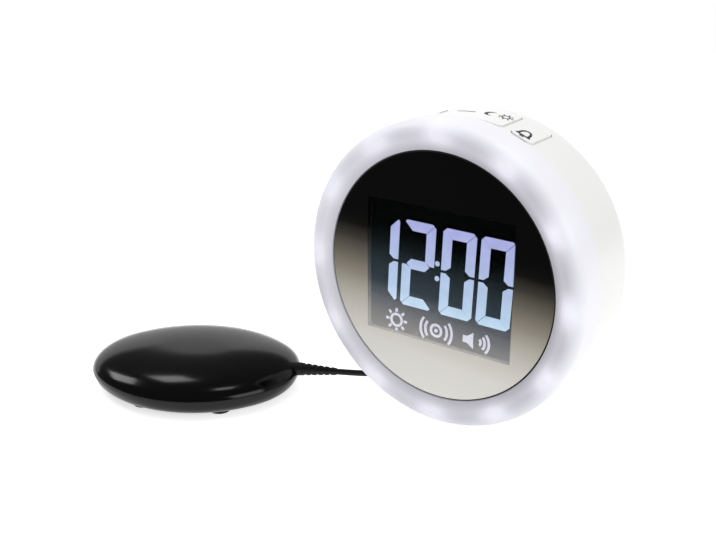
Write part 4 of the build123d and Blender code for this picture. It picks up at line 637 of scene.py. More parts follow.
def film(name, groups, place, thickness, finish, body):
    """Thin closed films. groups holds ((across, up), faces) in mm, and place turns a point to the frame."""
    shape = bmesh.new()
    for (across, up), faces in groups:
        for face in faces:
            shape.faces.new([shape.verts.new((across + p.x, up + p.y, 0)) for p in face])
    bmesh.ops.remove_doubles(shape, verts=shape.verts, dist=weld_distance / MM)
    raised = bmesh.ops.extrude_face_region(shape, geom=list(shape.faces))
    for item in raised["geom"]:
        if isinstance(item, bmesh.types.BMVert):
            item.co.z = thickness / MM
    for point in shape.verts:
        point.co = place(point.co.x, point.co.y, point.co.z * MM)
    thing = made(name, shape, finish)
    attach(thing, body)
    return thing


def digit_bars():
    """The seven bars of a digit, by letter, before it leans."""
    wide, bar, nick, cut = digit_width, bar_width, bar_nick, corner_cut
    middle = (digit_low + digit_high) / 2
    top = digit_high - middle
    cap = [(cut / 2 + nick, top - cut / 2), (cut + nick, top), (wide - cut - nick, top)]
    cap += [(wide - cut / 2 - nick, top - cut / 2), (wide - bar - nick, top - bar), (bar + nick, top - bar)]
    side = [(0, bar_break), (0, top - cut - nick), (cut / 2, top - cut / 2 - nick), (bar, top - bar - nick)]
    side += [(bar, bar / 2 + nick), (bar / 2, bar_break)]
    cross = [(bar / 2 + nick, 0), (bar, bar / 2), (wide - bar, bar / 2), (wide - bar / 2 - nick, 0)]
    cross += [(wide - bar, -bar / 2), (bar, -bar / 2)]
    flips = {"a": (cap, 1, 1), "d": (cap, 1, -1), "f": (side, 1, 1), "e": (side, 1, -1)}
    flips |= {"b": (side, -1, 1), "c": (side, -1, -1), "g": (cross, 1, 1)}
    bars = {}
    for letter, (outline, across, up) in flips.items():
        bars[letter] = [Vector((x if across > 0 else wide - x, z * up + middle)) for x, z in outline]
    return bars


def shown_figures():
    """The bars of every digit shown, leaning to the right, and the colon."""
    bars = digit_bars()
    middle = (digit_low + digit_high) / 2
    faces = []
    for number, letters in enumerate(shown_digits):
        left = digit_first + number * digit_pitch + (colon_room if number > 1 else 0)
        for letter in letters:
            faces.append([Vector((left + p.x + digit_lean * (p.y - middle), p.y)) for p in bars[letter]])
    for height in colon_heights:
        faces += disc(colon_radius, (colon_x, height))
    return faces


def lamp_icon(radius=2.3, near=3.2, far=4.6):
    """A lamp: a ring with eight rays."""
    faces = stroke(arc_path(radius)[:-1], icon_line, closed=True)
    for turn in range(0, 360, 45):
        way = Vector((math.cos(math.radians(turn)), math.sin(math.radians(turn))))
        faces += stroke([way * near, way * far], icon_line)
    return faces


def shaker_icon(radius=2.2, waves=(4.6, 6.6), half_angle=38):
    """A shaking pad: a ring round a dot, with waves on both sides."""
    faces = stroke(arc_path(radius)[:-1], icon_line, closed=True) + disc(radius / 3)
    for wave in waves:
        for side in (0, 180):
            faces += stroke(arc_path(wave, side - half_angle, side + half_angle, steps=10), icon_line)
    return faces


def speaker_icon(waves=(1.8, 3.5, 5.2), half_angle=42):
    """A speaker: a solid horn with three waves."""
    horn = [(-5.4, -1.3), (-3.8, -1.3), (-1.2, -3.0), (-1.2, 3.0), (-3.8, 1.3), (-5.4, 1.3)]
    faces = [[Vector(point) for point in horn]]
    for wave in waves:
        faces += stroke(arc_path(wave, -half_angle, half_angle, steps=10), icon_line)
    return faces


def lit(name, top_hex, low_hex, strength):
    """Lit figures: they glow evenly, a little bluer at the top, with the cells of the sheet behind."""
    finish, tree, shader = new_finish(name)
    place, parts, _ = about_dial(tree)
    height = add(tree, "ShaderNodeMapRange", {"Value": parts["Z"], "From Min": digit_low * MM,
                                              "From Max": digit_high * MM})
    glow = add(tree, "ShaderNodeMix", {"Factor": height, "A": colour(low_hex), "B": colour(top_hex)},
               data_type="RGBA")
    cells = add(tree, "ShaderNodeTexNoise", {"Vector": place, "Scale": 1 / lit_cell_size, "Detail": 1.0})
    level = add(tree, "ShaderNodeMapRange", {"Value": cells, "To Min": strength * (1 - lit_unevenness),
                                             "To Max": strength * (1 + lit_unevenness)})
    feed(tree, shader, {"Base Color": colour(unlit_hex), "Roughness": 0.5, "Specular IOR Level": 0.1,
                        "Emission Color": glow, "Emission Strength": level})
    return finish


def on_display(across, up, height):
    """A point of the display's figures: height is towards the front."""
    return Vector((across * MM, figure_front + figure_thickness - height, dial_height + up * MM))


digits = film("lit_digits", [((0, 0), shown_figures())], on_display, figure_thickness,
              lit("lit_figures", lit_top_hex, lit_low_hex, lit_strength), "clock")
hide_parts("lcd_digits")
icon_groups = [
    ((-18.9, icon_row), lamp_icon()),
    ((-1.7, icon_row), shaker_icon()),
    ((15.0, icon_row), speaker_icon()),
]
icons = film("lit_icons", icon_groups, on_display, figure_thickness,
             lit("lit_icon_figures", icon_hex, icon_hex, icon_strength), "clock")
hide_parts("lcd_icons")

# Black-backed glass: the dark field of the cell, which gives no light back
display_glass = moulded("display_glass", "020304", 0.5, grain=2.0, depth=0.0, spread=0.02, specular=0.0)
dress(["lcd_glass"], display_glass)

# Black ABS, moulded: dull, so that the frame isn't seen round the cell
black_abs = moulded("black_abs", "060607", 0.6, grain=0.4, depth=0.02, specular=0.1)
dress(["lcd_holder"], black_abs)

# Milky acrylic sheet: an even, cool white
milky_sheet = moulded("milky_acrylic_sheet", "e6e7ea", 0.5, grain=1.5, depth=0.0, spread=0.03)
dress(["backlight_diffuser"], milky_sheet)

# Moulded rubber of the contact strips, and of the speaker's surround: near-black and matt
striped_rubber = moulded("contact_rubber", "1b1b1d", 0.7, grain=0.2, depth=0.03, specular=0.3)
dress(["elastomer_strips", "speaker_surround"], striped_rubber)

# Front frame, light board and lamps: the inner moulding that carries the dial's ring, and a white
# circuit ring with twelve small lamps, whose yellow phosphor is covered by the light ring.

# Natural ABS, moulded and unpainted: a warm off-white with a dull sheen
inner_abs = moulded("inner_natural_abs", "dad9d4", 0.5, grain=0.6, depth=0.02)
dress(["front_frame"], inner_abs)

# White solder mask: smooth and clean, with a soft sheen
white_mask = moulded("white_solder_mask", "e8e8e4", 0.42, grain=0.8, depth=0.01)
dress(["led_board"], white_mask)

# Phosphor in clear resin: pale yellow, softly shining
phosphor = moulded("lamp_phosphor", "f0e6a8", 0.4, grain=0.5, depth=0.01)
dress(["ring_leds"], phosphor)

# Circuit boards: glass-epoxy laminate under green solder mask, with copper tracks that show through the
# mask. Their parts are black, and a grey ribbon cable joins the main board with the rear board.
mask_hex = "1a5536"
mask_pale_hex = "226b45"
track_hex = "2f7f55"
track_field = 13.0 * MM
track_share = 0.02


def green_laminate():
    """Glass-epoxy board: green mask over a weave, with straight tracks a shade lighter."""
    finish = moulded("green_laminate", mask_hex, 0.38, grain=0.5, depth=0.01)
    tree = finish.node_tree
    place = add(tree, "ShaderNodeTexCoord").outputs["Object"]
    turned = add(tree, "ShaderNodeMapping", {"Vector": place, "Rotation": (math.pi / 2, 0, 0)})
    tracks = add(tree, "ShaderNodeTexBrick", {"Vector": turned, "Color1": colour(mask_hex),
                                              "Color2": colour(mask_pale_hex), "Mortar": colour(track_hex),
                                              "Scale": 1 / track_field, "Mortar Size": track_share})
    feed(tree, tree.nodes["Principled BSDF"], {"Base Color": tracks})
    return finish


dress(["main_board", "rear_board", "top_board"], green_laminate())

# Moulding epoxy: near-black and matt, with a fine grit
chip_epoxy = moulded("chip_epoxy", "141416", 0.55, grain=0.25, depth=0.03)
dress(["main_board_parts", "top_switches", "rear_switches", "control_pots", "mode_switch"], chip_epoxy)

# Vinyl ribbon, extruded: plain grey with a dull sheen
ribbon_vinyl = moulded("ribbon_vinyl", "a9a9a4", 0.5, grain=0.6, depth=0.02)
dress(["ribbon_cable"], ribbon_vinyl)

# Signs on the top: pad-printed in dark grey on the curved keys, a dash, a moon and a lamp on the
# snooze bar, a shaking pad on the left key and a bell on the right one. Each is a thin film of ink.
key_face = 55.0 * MM
ink_thickness = 0.04 * MM
ink_hex = "3b3b40"

# Widths of the signs' lines, in mm
sign_line = 0.75
fine_line = 0.6
hand_line = 0.5


def moon_sign():
    """A crescent between two arcs that meet at its horns."""
    outer = arc_path(2.4, start=55, end=305)
    inner = arc_path(2.0, start=79.5, end=280.5, centre=(1.0, 0))
    return [[a, b, c, d] for a, b, c, d in zip(outer, outer[1:], inner[1:], inner)]


def bell_sign():
    """A bell with its clapper."""
    left = [(-2.3, -1.6), (-1.6, -0.9), (-1.5, 0.6), (-0.9, 1.8)]
    right = [(-across, up) for across, up in reversed(left)]
    clapper = [(-0.7, -2.5), (0.7, -2.5)]
    return stroke([*left, (0, 2.2), *right], sign_line, closed=True) + stroke(clapper, sign_line)


def dash_sign(half=3.0):
    """A short dash."""
    return stroke([(-half, 0), (half, 0)], sign_line)


def plus_sign(half=1.5):
    """A plus, from two crossed strokes."""
    return stroke([(-half, 0), (half, 0)], sign_line) + stroke([(0, -half), (0, half)], sign_line)


def clock_sign():
    """A dial with two hands."""
    hands = [(0, 1.3), (0, 0), (0.9, 0)]
    return stroke(arc_path(2.1)[:-1], fine_line, closed=True) + stroke(hands, hand_line)


def note_sign():
    """A music note."""
    return disc(0.9, (-0.6, -1.6)) + stroke([(0.1, -1.6), (0.1, 1.9), (1.4, 1.1)], fine_line)


def scaled(faces, share):
    """Faces drawn smaller or larger about their middle."""
    return [[point * share for point in face] for face in faces]


def on_drum(across, up, height):
    """A point on the drum's keys: across is measured round the drum, up towards the back."""
    turn = across * MM / key_face
    reach = key_face + height
    return Vector((reach * math.sin(turn), up * MM - foot_middle, dial_height + reach * math.cos(turn)))


# Pad-printing ink: dark grey and flat, with no grain of its own
sign_ink = moulded("sign_ink", ink_hex, 0.5, grain=0.2, depth=0.0, spread=0.05)
snooze_signs = [
    ((-4.4, 24.0), dash_sign(3.6)),
    ((4.6, 25.5), moon_sign()),
    ((10.1, 26.5), scaled(lamp_icon(), 0.62)),
]
left_key_sign = [((-21.6, 24.5), scaled(shaker_icon(), 0.5))]
right_key_sign = [((21.4, 20.8), scaled(bell_sign(), 1.2))]
for name, signs, body in (
    ("snooze_signs", snooze_signs, "snooze"),
    ("left_key_sign", left_key_sign, "left_top"),
    ("right_key_sign", right_key_sign, "right_top"),
):
    film(name, signs, on_drum, ink_thickness, sign_ink, body)

# Controls on the back: grey ABS keys, a slide lever and two fluted knobs, with printed signs beside
# them. The knobs' scales are rings of short ticks.
grey_hex = "8a8c90"
back_face = 46.5 * MM - foot_middle
knob_x = 29.0
knob_up = 14.0
tick_count = 11
tick_circle = 8.6 * MM
tick_length = 1.3 * MM
tick_width = 0.35 * MM
tick_sweep = math.radians(270)

# Grey ABS, moulded: a mid grey with a soft highlight
grey_abs = moulded("grey_abs", grey_hex, 0.42, grain=0.4, depth=0.02)
dress(["time_key", "alarm_key", "down_key", "up_key", "mode_lever", "volume_knob", "tone_knob"], grey_abs)


def on_back(across, up, height):
    """A point on the back, seen from behind: across to the right, up above the dial's middle."""
    return Vector((-across * MM, back_face + height, dial_height + up * MM))


back_signs = [
    ((30.0, 1.8), clock_sign()),
    ((18.0, 1.8), bell_sign()),
    ((-18.0, 1.5), dash_sign(1.5)),
    ((-30.0, 1.5), plus_sign()),
    ((29.0, 25.5), scaled(speaker_icon(), 0.55)),
    ((-29.0, 25.5), note_sign()),
    ((26.0, -14.5), scaled(shaker_icon(), 0.5)),
]
film("back_signs", back_signs, on_back, ink_thickness, sign_ink, "clock")


def copied(tree, given, piece):
    """Ends a tree: the piece at each given point, as real geometry in the given finish."""
    copies = add(tree, "GeometryNodeInstanceOnPoints", {"Points": given["Geometry"], "Instance": piece})
    real = add(tree, "GeometryNodeRealizeInstances", {"Geometry": copies})
    done = add(tree, "GeometryNodeSetMaterial", {"Geometry": real, "Material": given["Finish"]})
    add(tree, "NodeGroupOutput", {0: done})
    return tree


def tick_tree():
    """A fan of short printed ticks round a middle: one tick, copied along an arc."""
    tree, given = new_tree("knob_ticks", {
        "Count": ("Int", tick_count),
        "Circle": ("Float", tick_circle),
        "Length": ("Float", tick_length),
        "Width": ("Float", tick_width),
        "Thickness": ("Float", ink_thickness),
        "Sweep": ("Float", tick_sweep),
        "Finish": ("Material", None),
    })
    arc_line = add(tree, "GeometryNodeCurveArc", {"Resolution": given["Count"], "Radius": given["Circle"],
                                                  "Sweep Angle": given["Sweep"]}, mode="RADIUS")
    size = add(tree, "ShaderNodeCombineXYZ", {"X": given["Length"], "Y": given["Width"],
                                              "Z": given["Thickness"]})
    tick = add(tree, "GeometryNodeMeshCube", {"Size": size})
    spot = add(tree, "GeometryNodeInputPosition")
    facing_out = add(tree, "FunctionNodeAlignRotationToVector", {"Vector": spot}, axis="X")
    fan = add(tree, "GeometryNodeInstanceOnPoints", {"Points": arc_line, "Instance": tick,
                                                     "Rotation": facing_out})
    return copied(tree, given, fan)


def finished_mesh(thing):
    """An object's mesh as its modifiers leave it."""
    bpy.context.view_layer.update()
    return bpy.data.meshes.new_from_object(thing.evaluated_get(bpy.context.evaluated_depsgraph_get()))


def grown(name, points, tree, turn, finish):
    """Runs a node tree on a few points, turns the result to its place, and leaves a plain mesh."""
    seed = bpy.data.meshes.new(name + "_points")
    back_turn = turn.inverted()
    seed.from_pydata([back_turn @ Vector(point) for point in points], [], [])
    holder = new_object(name + "_points", seed)
    grower = holder.modifiers.new(tree.name, "NODES")
    grower.node_group = tree
    for socket in tree.interface.items_tree:
        if socket.name == "Finish":
            grower[socket.identifier] = finish
    mesh = finished_mesh(holder)
    mesh.name = name
    mesh.transform(turn)
    bpy.data.objects.remove(holder)
    return new_object(name, mesh)


towards_back = Matrix.Rotation(math.radians(-90), 4, "X")
gap_below = Matrix.Rotation((math.pi - tick_sweep) / 2, 4, "Z")
tick_places = [on_back(side * knob_x, knob_up, ink_thickness / 2) for side in (-1, 1)]
ticks = grown("knob_scales", tick_places, tick_tree(), towards_back @ gap_below, sign_ink)
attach(ticks, "clock")

# Sockets: the power inlet and the jack for the pad's plug. They are moulded in black nylon, and their
# mouths open in the back.

# Nylon, moulded: near-black with a dull sheen
black_nylon = moulded("black_nylon", "121214", 0.5, grain=0.3, depth=0.02)
dress(["dc_inlet", "shaker_jack"], black_nylon)

# Speaker: a plated steel basket in a ring of ribs inside the back, a plated magnet pot, and a paper cone
# that works in its gap.

# Zinc plate on steel: a bright, bluish grey with a broken reflection. Screws and clamps have it too.
zinc_plate = moulded("zinc_plated_steel", "b4b7bb", 0.32, grain=0.8, depth=0.01, spread=0.08, metallic=1.0)
dress(["speaker_frame", "motor_clamp", "board_screws"], zinc_plate)

# Nickel plate: bright and slightly warm, the clearest reflection of the metals
nickel_plate = moulded("nickel_plate", "c9c5bc", 0.2, grain=0.6, depth=0.004, spread=0.05, metallic=1.0)
dress(["speaker_magnet", "battery_contacts", "plug_pin"], nickel_plate)

# Pulp paper, dyed black: matt, with a coarse fibre
cone_paper = moulded("cone_paper", "1c1c1e", 0.85, grain=0.25, depth=0.06, specular=0.2)
dress(["speaker_cone"], cone_paper)

# Battery: a coin cell that keeps the time while the power is off. It lies under the twist-lock door, on
# a spring plate and against a side contact.

# Stainless steel, pressed: bright with a soft reflection
cell_steel = moulded("cell_stainless", "c8c8c6", 0.22, grain=0.7, depth=0.004, spread=0.05, metallic=1.0)
dress(["coin_cell"], cell_steel)

# Case screws: pan heads with a cross recess, in zinc-plated steel. They sit at the bottom of the case's
# wells and hold it to the front frame.
case_screw_circle = 38.5 * MM
case_screw_angles = (51, 129, 245, 295)
case_screw_seat = 43.8 * MM - foot_middle
case_head_radius = 2.8 * MM
case_head_height = 2.0 * MM
case_shank_radius = 1.5 * MM
case_shank_length = 30.4 * MM
head_sides = 40
shank_sides = 24
head_top_share = 0.74
cross_length_share = 1.25
cross_width_share = 0.27
cross_depth_share = 1.2


def screw_tree():
    """A pan-head screw with a cross recess, copied to each point with its head towards +Z."""
    tree, given = new_tree("cross_head_screws", {
        "Head Radius": ("Float", case_head_radius),
        "Head Height": ("Float", case_head_height),
        "Shank Radius": ("Float", case_shank_radius),
        "Shank Length": ("Float", case_shank_length),
        "Finish": ("Material", None),
    })
    parts = {}
    for part, base, share in (
        ("top", "Head Radius", head_top_share),
        ("long", "Head Radius", cross_length_share),
        ("wide", "Head Radius", cross_width_share),
        ("deep", "Head Height", cross_depth_share),
        ("down", "Shank Length", -0.5),
    ):
        parts[part] = add(tree, "ShaderNodeMath", {0: given[base], 1: share}, operation="MULTIPLY")
    pan = add(tree, "GeometryNodeMeshCone", {"Vertices": head_sides, "Side Segments": 3,
                                             "Radius Bottom": given["Head Radius"],
                                             "Radius Top": parts["top"], "Depth": given["Head Height"]})
    head = add(tree, "GeometryNodeMeshBoolean", {"Mesh 1": pan}, operation="DIFFERENCE")
    to_top = add(tree, "ShaderNodeCombineXYZ", {"Z": given["Head Height"]})
    for across, along in (("long", "wide"), ("wide", "long")):
        size = add(tree, "ShaderNodeCombineXYZ", {"X": parts[across], "Y": parts[along],
                                                  "Z": parts["deep"]})
        cube = add(tree, "GeometryNodeMeshCube", {"Size": size})
        slot = add(tree, "GeometryNodeTransform", {"Geometry": cube, "Translation": to_top})
        feed(tree, head, {"Mesh 2": slot})
    shank = add(tree, "GeometryNodeMeshCylinder", {"Vertices": shank_sides, "Radius": given["Shank Radius"],
                                                   "Depth": given["Shank Length"]})
    to_shank = add(tree, "ShaderNodeCombineXYZ", {"Z": parts["down"]})
    shank = add(tree, "GeometryNodeTransform", {"Geometry": shank, "Translation": to_shank})
    screw = add(tree, "GeometryNodeJoinGeometry", {0: head})
    feed(tree, screw, {0: shank})
    return copied(tree, given, screw)


case_screw_points = []
for angle in case_screw_angles:
    turned = math.radians(angle)
    case_screw_points.append((case_screw_circle * math.cos(turned), case_screw_seat,
                              dial_height + case_screw_circle * math.sin(turned)))
case_screws = grown("case_screws_plated", case_screw_points, screw_tree(), towards_back, zinc_plate)
shade(case_screws)
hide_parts("case_screws")
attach(case_screws, "clock")

# Pad shells: two halves of black ABS, an oval pebble of four arcs, screwed together at the seam. They
# are skinned here with more steps than their solids, so that the gloss runs evenly over them.
pad_centre = Vector((-94.1, -53.4, 0.0)) * MM
pad_turn = math.radians(26.0)
pad_half_length = 41.1 * MM
pad_half_width = 33.4 * MM
pad_end_radius = 28.0 * MM
pad_height = 16.0 * MM
pad_seam = 7.8 * MM
pad_wall = 1.8 * MM
pad_foot = 0.8 * MM
pad_seam_step = 0.35 * MM
dome_pulls = ((0, 0.0), (0, 0.5), (0.27, 1.0), (1, 1.0))
belly_pulls = ((0, 0.0), (0, 0.55), (0.12, 1.0), (0.35, 1.0))
oval_steps = 60
side_steps = 26

end_centre = pad_half_length - pad_end_radius
lens_half = pad_half_width - pad_end_radius
side_centre = (end_centre**2 - lens_half**2) / (2 * lens_half)
side_radius = pad_half_width + side_centre
end_half_angle = math.atan2(side_centre, end_centre)
pad_place = Matrix.Translation(pad_centre) @ Matrix.Rotation(pad_turn, 4, "Z")


def oval_rim():
    """Points round the oval, each with its direction outwards."""
    rim = []
    for side in (0, math.pi):
        for centre, radius, start, end in (
            (Vector((end_centre, 0)), pad_end_radius, -end_half_angle, end_half_angle),
            (Vector((0, -side_centre)), side_radius, end_half_angle, math.pi - end_half_angle),
        ):
            for step in range(oval_steps):
                turn = start + (end - start) * step / oval_steps
                out = Vector((math.cos(turn), math.sin(turn)))
                spin = Matrix.Rotation(side, 2)
                rim.append((spin @ (centre + out * radius), spin @ out))
    return rim


def pulled(pulls, inset, flat_height):
    """Points of a half's side, as (way in from the rim, height), from its four pull points."""
    reach = pad_end_radius - inset
    rise = flat_height - pad_seam
    corners_in = [(inset + reach * t, pad_seam + rise * h) for t, h in pulls]
    points = []
    for step in range(side_steps + 1):
        u = step / side_steps
        weights = ((1 - u) ** 3, 3 * u * (1 - u) ** 2, 3 * u * u * (1 - u), u**3)
        way_in = sum(weight * corner[0] for weight, corner in zip(weights, corners_in))
        points.append((way_in, sum(weight * corner[1] for weight, corner in zip(weights, corners_in))))
    return points


def pad_half(name, pulls, inset, outer_height, inner_height, finish):
    """One hollow half of the pad: outer skin, seam face and inner skin, closed in the middle."""
    outer = pulled(pulls, inset, outer_height)
    inner = pulled(pulls, pad_wall, inner_height)
    if pulls[-1][0] < 1:
        outer.append((pad_end_radius, outer_height))
        inner.append((pad_end_radius, inner_height))
    rim = oval_rim()
    shape = bmesh.new()
    rings = []
    for way_in, height in outer[::-1] + inner:
        rings.append([shape.verts.new((*(point - out * way_in), height)) for point, out in rim])
    skin(shape, rings, closed=False)
    merge(shape)
    half = made(name, shape, finish, pad_place)
    shade(half)
    return half


# Black ABS, moulded in a satin-polished tool: dark, with soft-edged reflections
black_satin = moulded("black_satin_abs", "030304", 0.14, grain=0.35, depth=0.006, spread=0.04,
                      specular=0.24)
upper_half = pad_half("pad_upper_satin", dome_pulls, 0, pad_height, pad_height - pad_wall, black_satin)
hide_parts("pad_upper_shell")
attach(upper_half, "shaker")

# Lower half: the same plastic, stepped in at the seam, with wells for its four screws
pad_screw_x = 22.0 * MM
pad_screw_y = 17.0 * MM
pad_well_radius = 2.6 * MM
pad_well_depth = 2.2 * MM
pad_well_sides = 40
pad_screw_spots = [(x, y) for x in (-pad_screw_x, pad_screw_x) for y in (-pad_screw_y, pad_screw_y)]

lower_half = pad_half("pad_lower_satin", belly_pulls, pad_seam_step, pad_foot, pad_foot + pad_wall,
                      black_satin)
wells = bmesh.new()
for x, y in pad_screw_spots:
    spot = pad_place @ Matrix.Translation((x, y, pad_well_depth / 2))
    bmesh.ops.create_cone(wells, cap_ends=True, segments=pad_well_sides, radius1=pad_well_radius,
                          radius2=pad_well_radius, depth=pad_well_depth + 2 * pad_foot, matrix=spot)
well_mesh = bpy.data.meshes.new("pad_wells")
wells.to_mesh(well_mesh)
wells.free()
well_cutter = new_object("pad_wells", well_mesh)
cutting = lower_half.modifiers.new("wells", "BOOLEAN")
cutting.object = well_cutter
cutting.solver = "EXACT"
cut_mesh = finished_mesh(lower_half)
lower_half.modifiers.clear()
lower_half.data = cut_mesh
bpy.data.objects.remove(well_cutter)
shade(lower_half)
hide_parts("pad_lower_shell")
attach(lower_half, "shaker")
dress(["pad_screws"], zinc_plate)

# Pad motor: a steel can on two saddles of the lower half, held down by a clamp. The sintered weight is
# off the centre of its shaft, and shakes the pad as it turns.

# Drawn steel, plated: bright, with a soft reflection
can_steel = moulded("drawn_steel_can", "c0c2c4", 0.24, grain=1.0, depth=0.004, spread=0.05, metallic=1.0)
dress(["motor_can", "motor_shaft"], can_steel)

# Sintered iron: a dull, grainy grey
sintered_iron = moulded("sintered_weight", "86827c", 0.5, grain=0.3, depth=0.04, spread=0.08, metallic=1.0)
dress(["eccentric_weight"], sintered_iron)

# Boot and plug: soft black vinyl moulded on the cord. The boot is a ribbed taper in the pad's seam, and
# the plug's grip has a tapering tail.
boot_axis = 9.6 * MM
boot_root_radius = 2.6 * MM
boot_groove_radius = 2.0 * MM
boot_tip_radius = 1.45 * MM
boot_inner_end = 33.6 * MM
boot_groove_near = 35.2 * MM
boot_groove_far = 36.4 * MM
boot_root_end = 41.7 * MM
boot_tip = 56.1 * MM
boot_rings = 5
boot_ring_pitch = 2.4 * MM
boot_ring_half = 0.45 * MM
boot_ring_depth = 0.35 * MM
boot_sides = 48

# Soft vinyl, moulded and extruded: black with a broad, dull sheen
soft_vinyl = moulded("soft_vinyl", "0a0a0b", 0.46, grain=0.3, depth=0.02, spread=0.06, specular=0.25)


def boot_radius(way):
    """The boot's radius along its taper."""
    share = (way - boot_root_end) / (boot_tip - boot_root_end)
    return boot_root_radius + (boot_tip_radius - boot_root_radius) * share


boot_outline = [(0, boot_inner_end), (boot_root_radius, boot_inner_end)]
boot_outline += [(boot_root_radius, boot_groove_near), (boot_groove_radius, boot_groove_near)]
boot_outline += [(boot_groove_radius, boot_groove_far), (boot_root_radius, boot_groove_far)]
boot_outline += [(boot_root_radius, boot_root_end)]
for number in range(boot_rings):
    middle = boot_root_end + boot_ring_pitch * (number + 1)
    near, far = middle - boot_ring_half, middle + boot_ring_half
    boot_outline += [(boot_radius(near), near), (boot_radius(near) - boot_ring_depth, near)]
    boot_outline += [(boot_radius(far) - boot_ring_depth, far), (boot_radius(far), far)]
boot_outline += [(boot_tip_radius, boot_tip), (0, boot_tip)]
boot_start = pad_place @ Vector((0, 0, boot_axis))
boot_way = pad_place.to_3x3() @ Vector((1, 0, 0))
boot = lathe("boot_vinyl", boot_outline, boot_start, boot_way, boot_sides, soft_vinyl)
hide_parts("pad_boot")
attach(boot, "shaker")
dress(["plug_body"], soft_vinyl)

# Cord: a limp two-core vinyl cord of 2.4 mm. It leaves the boot, runs under the ring's edge and behind
# the clock to a tied coil, and rises from the coil to the plug. The coil winds in four layers.
cord_diameter = 2.4 * MM

# The cord's route in mm: its middle line's listed points, and the sizes that the coil is worked out from
plug_x = -26.0
plug_tail = (plug_x, 43.6, 33.3)
coil_centre = (-46.0, 77.0)
coil_outer = 20.0
coil_low = 1.85
layer_rise = 2.85
turn_pitch = 2.85
layer_half_turns = (8.5, 9, 9, 8.5)
points_per_half_turn = 10
coil_lead = 9.0
boot_lead = 6.0
plug_lead = 6.8
pad_run = (
    (-34.8, -19.5, 7.6),
    (-34.6, -9.0, 3.9),
    (-38.5, 6.0, 1.5),
    (-46.0, 24.0, 1.3),
    (-56.5, 40.0, 1.25),
    (-64.6, 55.0, 1.3),
)
plug_run = (
    (-25.7, 63.5, 15.0),
    (-26.3, 57.5, 27.0),
)


def coil_point(turned):
    """A point of the coil after so many half turns, winding clockwise seen from above."""
    before = 0
    radius = coil_outer
    direction = -1
    height = coil_low
    for layer, count in enumerate(layer_half_turns):
        radius += direction * min(max(turned - before, 0), count) * turn_pitch / 2
        before += count
        direction = -direction
        if layer < len(layer_half_turns) - 1:
            share = min(max(turned - before + 0.5, 0), 1)
            height += layer_rise * share * share * (3 - 2 * share)
    angle = math.pi - math.pi * turned
    return (coil_centre[0] + radius * math.cos(angle), coil_centre[1] + radius * math.sin(angle), height)


boot_end = (pad_place @ Vector((boot_tip, 0, boot_axis))) / MM
after_boot = (pad_place @ Vector((boot_tip + boot_lead * MM, 0, boot_axis))) / MM
coil_start = coil_point(0)
half_turns = sum(layer_half_turns)
coil_end = coil_point(half_turns)
cord_points = [tuple(boot_end), tuple(after_boot), *pad_run]
cord_points += [(coil_start[0], coil_start[1] - coil_lead, coil_start[2])]
steps = int(half_turns * points_per_half_turn)
cord_points += [coil_point(step / points_per_half_turn) for step in range(steps + 1)]
cord_points += [(coil_end[0], coil_end[1] - plug_lead, coil_end[2]), *plug_run]
cord_points += [(plug_x, plug_tail[1] + plug_lead, plug_tail[2]), plug_tail]

cord_curve = bpy.data.curves.new("shaker_cord", "CURVE")
cord_curve.dimensions = "3D"
cord_curve.bevel_depth = cord_diameter / 2 / MM
cord_curve.bevel_resolution = 5
cord_curve.use_fill_caps = True
line = cord_curve.splines.new("NURBS")
line.points.add(len(cord_points) - 1)
for knot, point in zip(line.points, cord_points):
    knot.co = (*[value * MM for value in point], 1)
    knot.radius = MM
line.order_u = 3
line.use_endpoint_u = True
line.resolution_u = 4
cord_curve.materials.append(soft_vinyl)
cord = new_object("shaker_cord", cord_curve)
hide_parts("cord_pad_run", "cord_coil", "cord_plug_run")
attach(cord, "shaker")

# Tie: a flat vinyl strap, drawn once round all the turns of the coil. Its free end lies on top of the
# loop and ends in a rounded tip.

# The strap's sizes in mm: its room is the way from the cord's middle line to its own inner face
tie_angle = 100
tie_room = 1.35
tie_outer = coil_outer + turn_pitch / 4 + tie_room
tie_inner = coil_outer - layer_half_turns[1] * turn_pitch / 2 - tie_room
tie_low = coil_low - tie_room
tie_high = coil_low + (len(layer_half_turns) - 1) * layer_rise + tie_room
tie_thickness = 0.5
tie_half_width = 2.5
tie_corner = 2.0
tie_edge = 0.12
tie_corner_steps = 8
tail_near = 8.5
tail_far = 18.0
tail_tip_steps = 6

# Vinyl strap, extruded: a shade paler than the cord, and dull
tie_vinyl = moulded("tie_vinyl", "141416", 0.5, grain=0.3, depth=0.02)
tie_place = Matrix.Translation((coil_centre[0] * MM, coil_centre[1] * MM, 0))
tie_place = tie_place @ Matrix.Rotation(math.radians(tie_angle), 4, "Z")


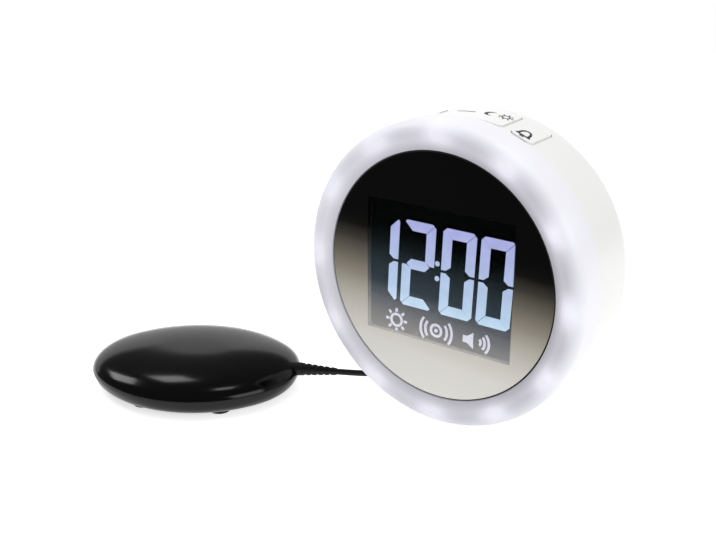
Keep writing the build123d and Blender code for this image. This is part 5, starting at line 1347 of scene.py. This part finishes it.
def strap_ring(shape, out, up, turn, half_width):
    """The strap's section with broken edges, at a point of its inner face and the way out from there."""
    profile = [(half_width, tie_edge), (half_width, tie_thickness - tie_edge)]
    profile += [(half_width - tie_edge, tie_thickness)]
    profile += [(-across, lift) for across, lift in reversed(profile)]
    profile += [(tie_edge - half_width, 0), (half_width - tie_edge, 0)]
    points = [(out + lift * math.cos(turn), across, up + lift * math.sin(turn)) for across, lift in profile]
    return [shape.verts.new(tie_place @ (Vector(point) * MM)) for point in points]


tie_shape = bmesh.new()
loop_rings = []
for corner_out, corner_up, first_turn in (
    (tie_outer, tie_low, -90),
    (tie_outer, tie_high, 0),
    (tie_inner, tie_high, 90),
    (tie_inner, tie_low, 180),
):
    centre_out = corner_out - math.copysign(tie_corner, corner_out - (tie_inner + tie_outer) / 2)
    centre_up = corner_up - math.copysign(tie_corner, corner_up - (tie_low + tie_high) / 2)
    for step in range(tie_corner_steps + 1):
        turn = math.radians(first_turn + 90 * step / tie_corner_steps)
        out = centre_out + tie_corner * math.cos(turn)
        up = centre_up + tie_corner * math.sin(turn)
        loop_rings.append(strap_ring(tie_shape, out, up, turn, tie_half_width))
skin(tie_shape, loop_rings, closed=True)
tail_rings = [strap_ring(tie_shape, tail_near, tie_high + tie_thickness, math.pi / 2, tie_half_width)]
for step in range(tail_tip_steps):
    turn = math.pi / 2 * step / tail_tip_steps
    out = tail_far - tie_half_width * (1 - math.sin(turn))
    half_width = tie_half_width * math.cos(turn)
    tail_rings.append(strap_ring(tie_shape, out, tie_high + tie_thickness, math.pi / 2, half_width))
skin(tie_shape, tail_rings, closed=False)
tie = made("cord_tie_strap", tie_shape, tie_vinyl)
shade(tie)
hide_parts("cord_tie")
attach(tie, "shaker")


def along_cord():
    """The length of the cord's own line, measured on the spline without its thickness."""
    cord_curve.bevel_depth = 0
    bare = finished_mesh(cord)
    runs = [[bare.vertices[number].co for number in edge.vertices] for edge in bare.edges]
    total = sum((end - start).length for start, end in runs)
    bpy.data.meshes.remove(bare)
    cord_curve.bevel_depth = cord_diameter / 2 / MM
    return total


cord_length = along_cord()

bpy.context.view_layer.update()
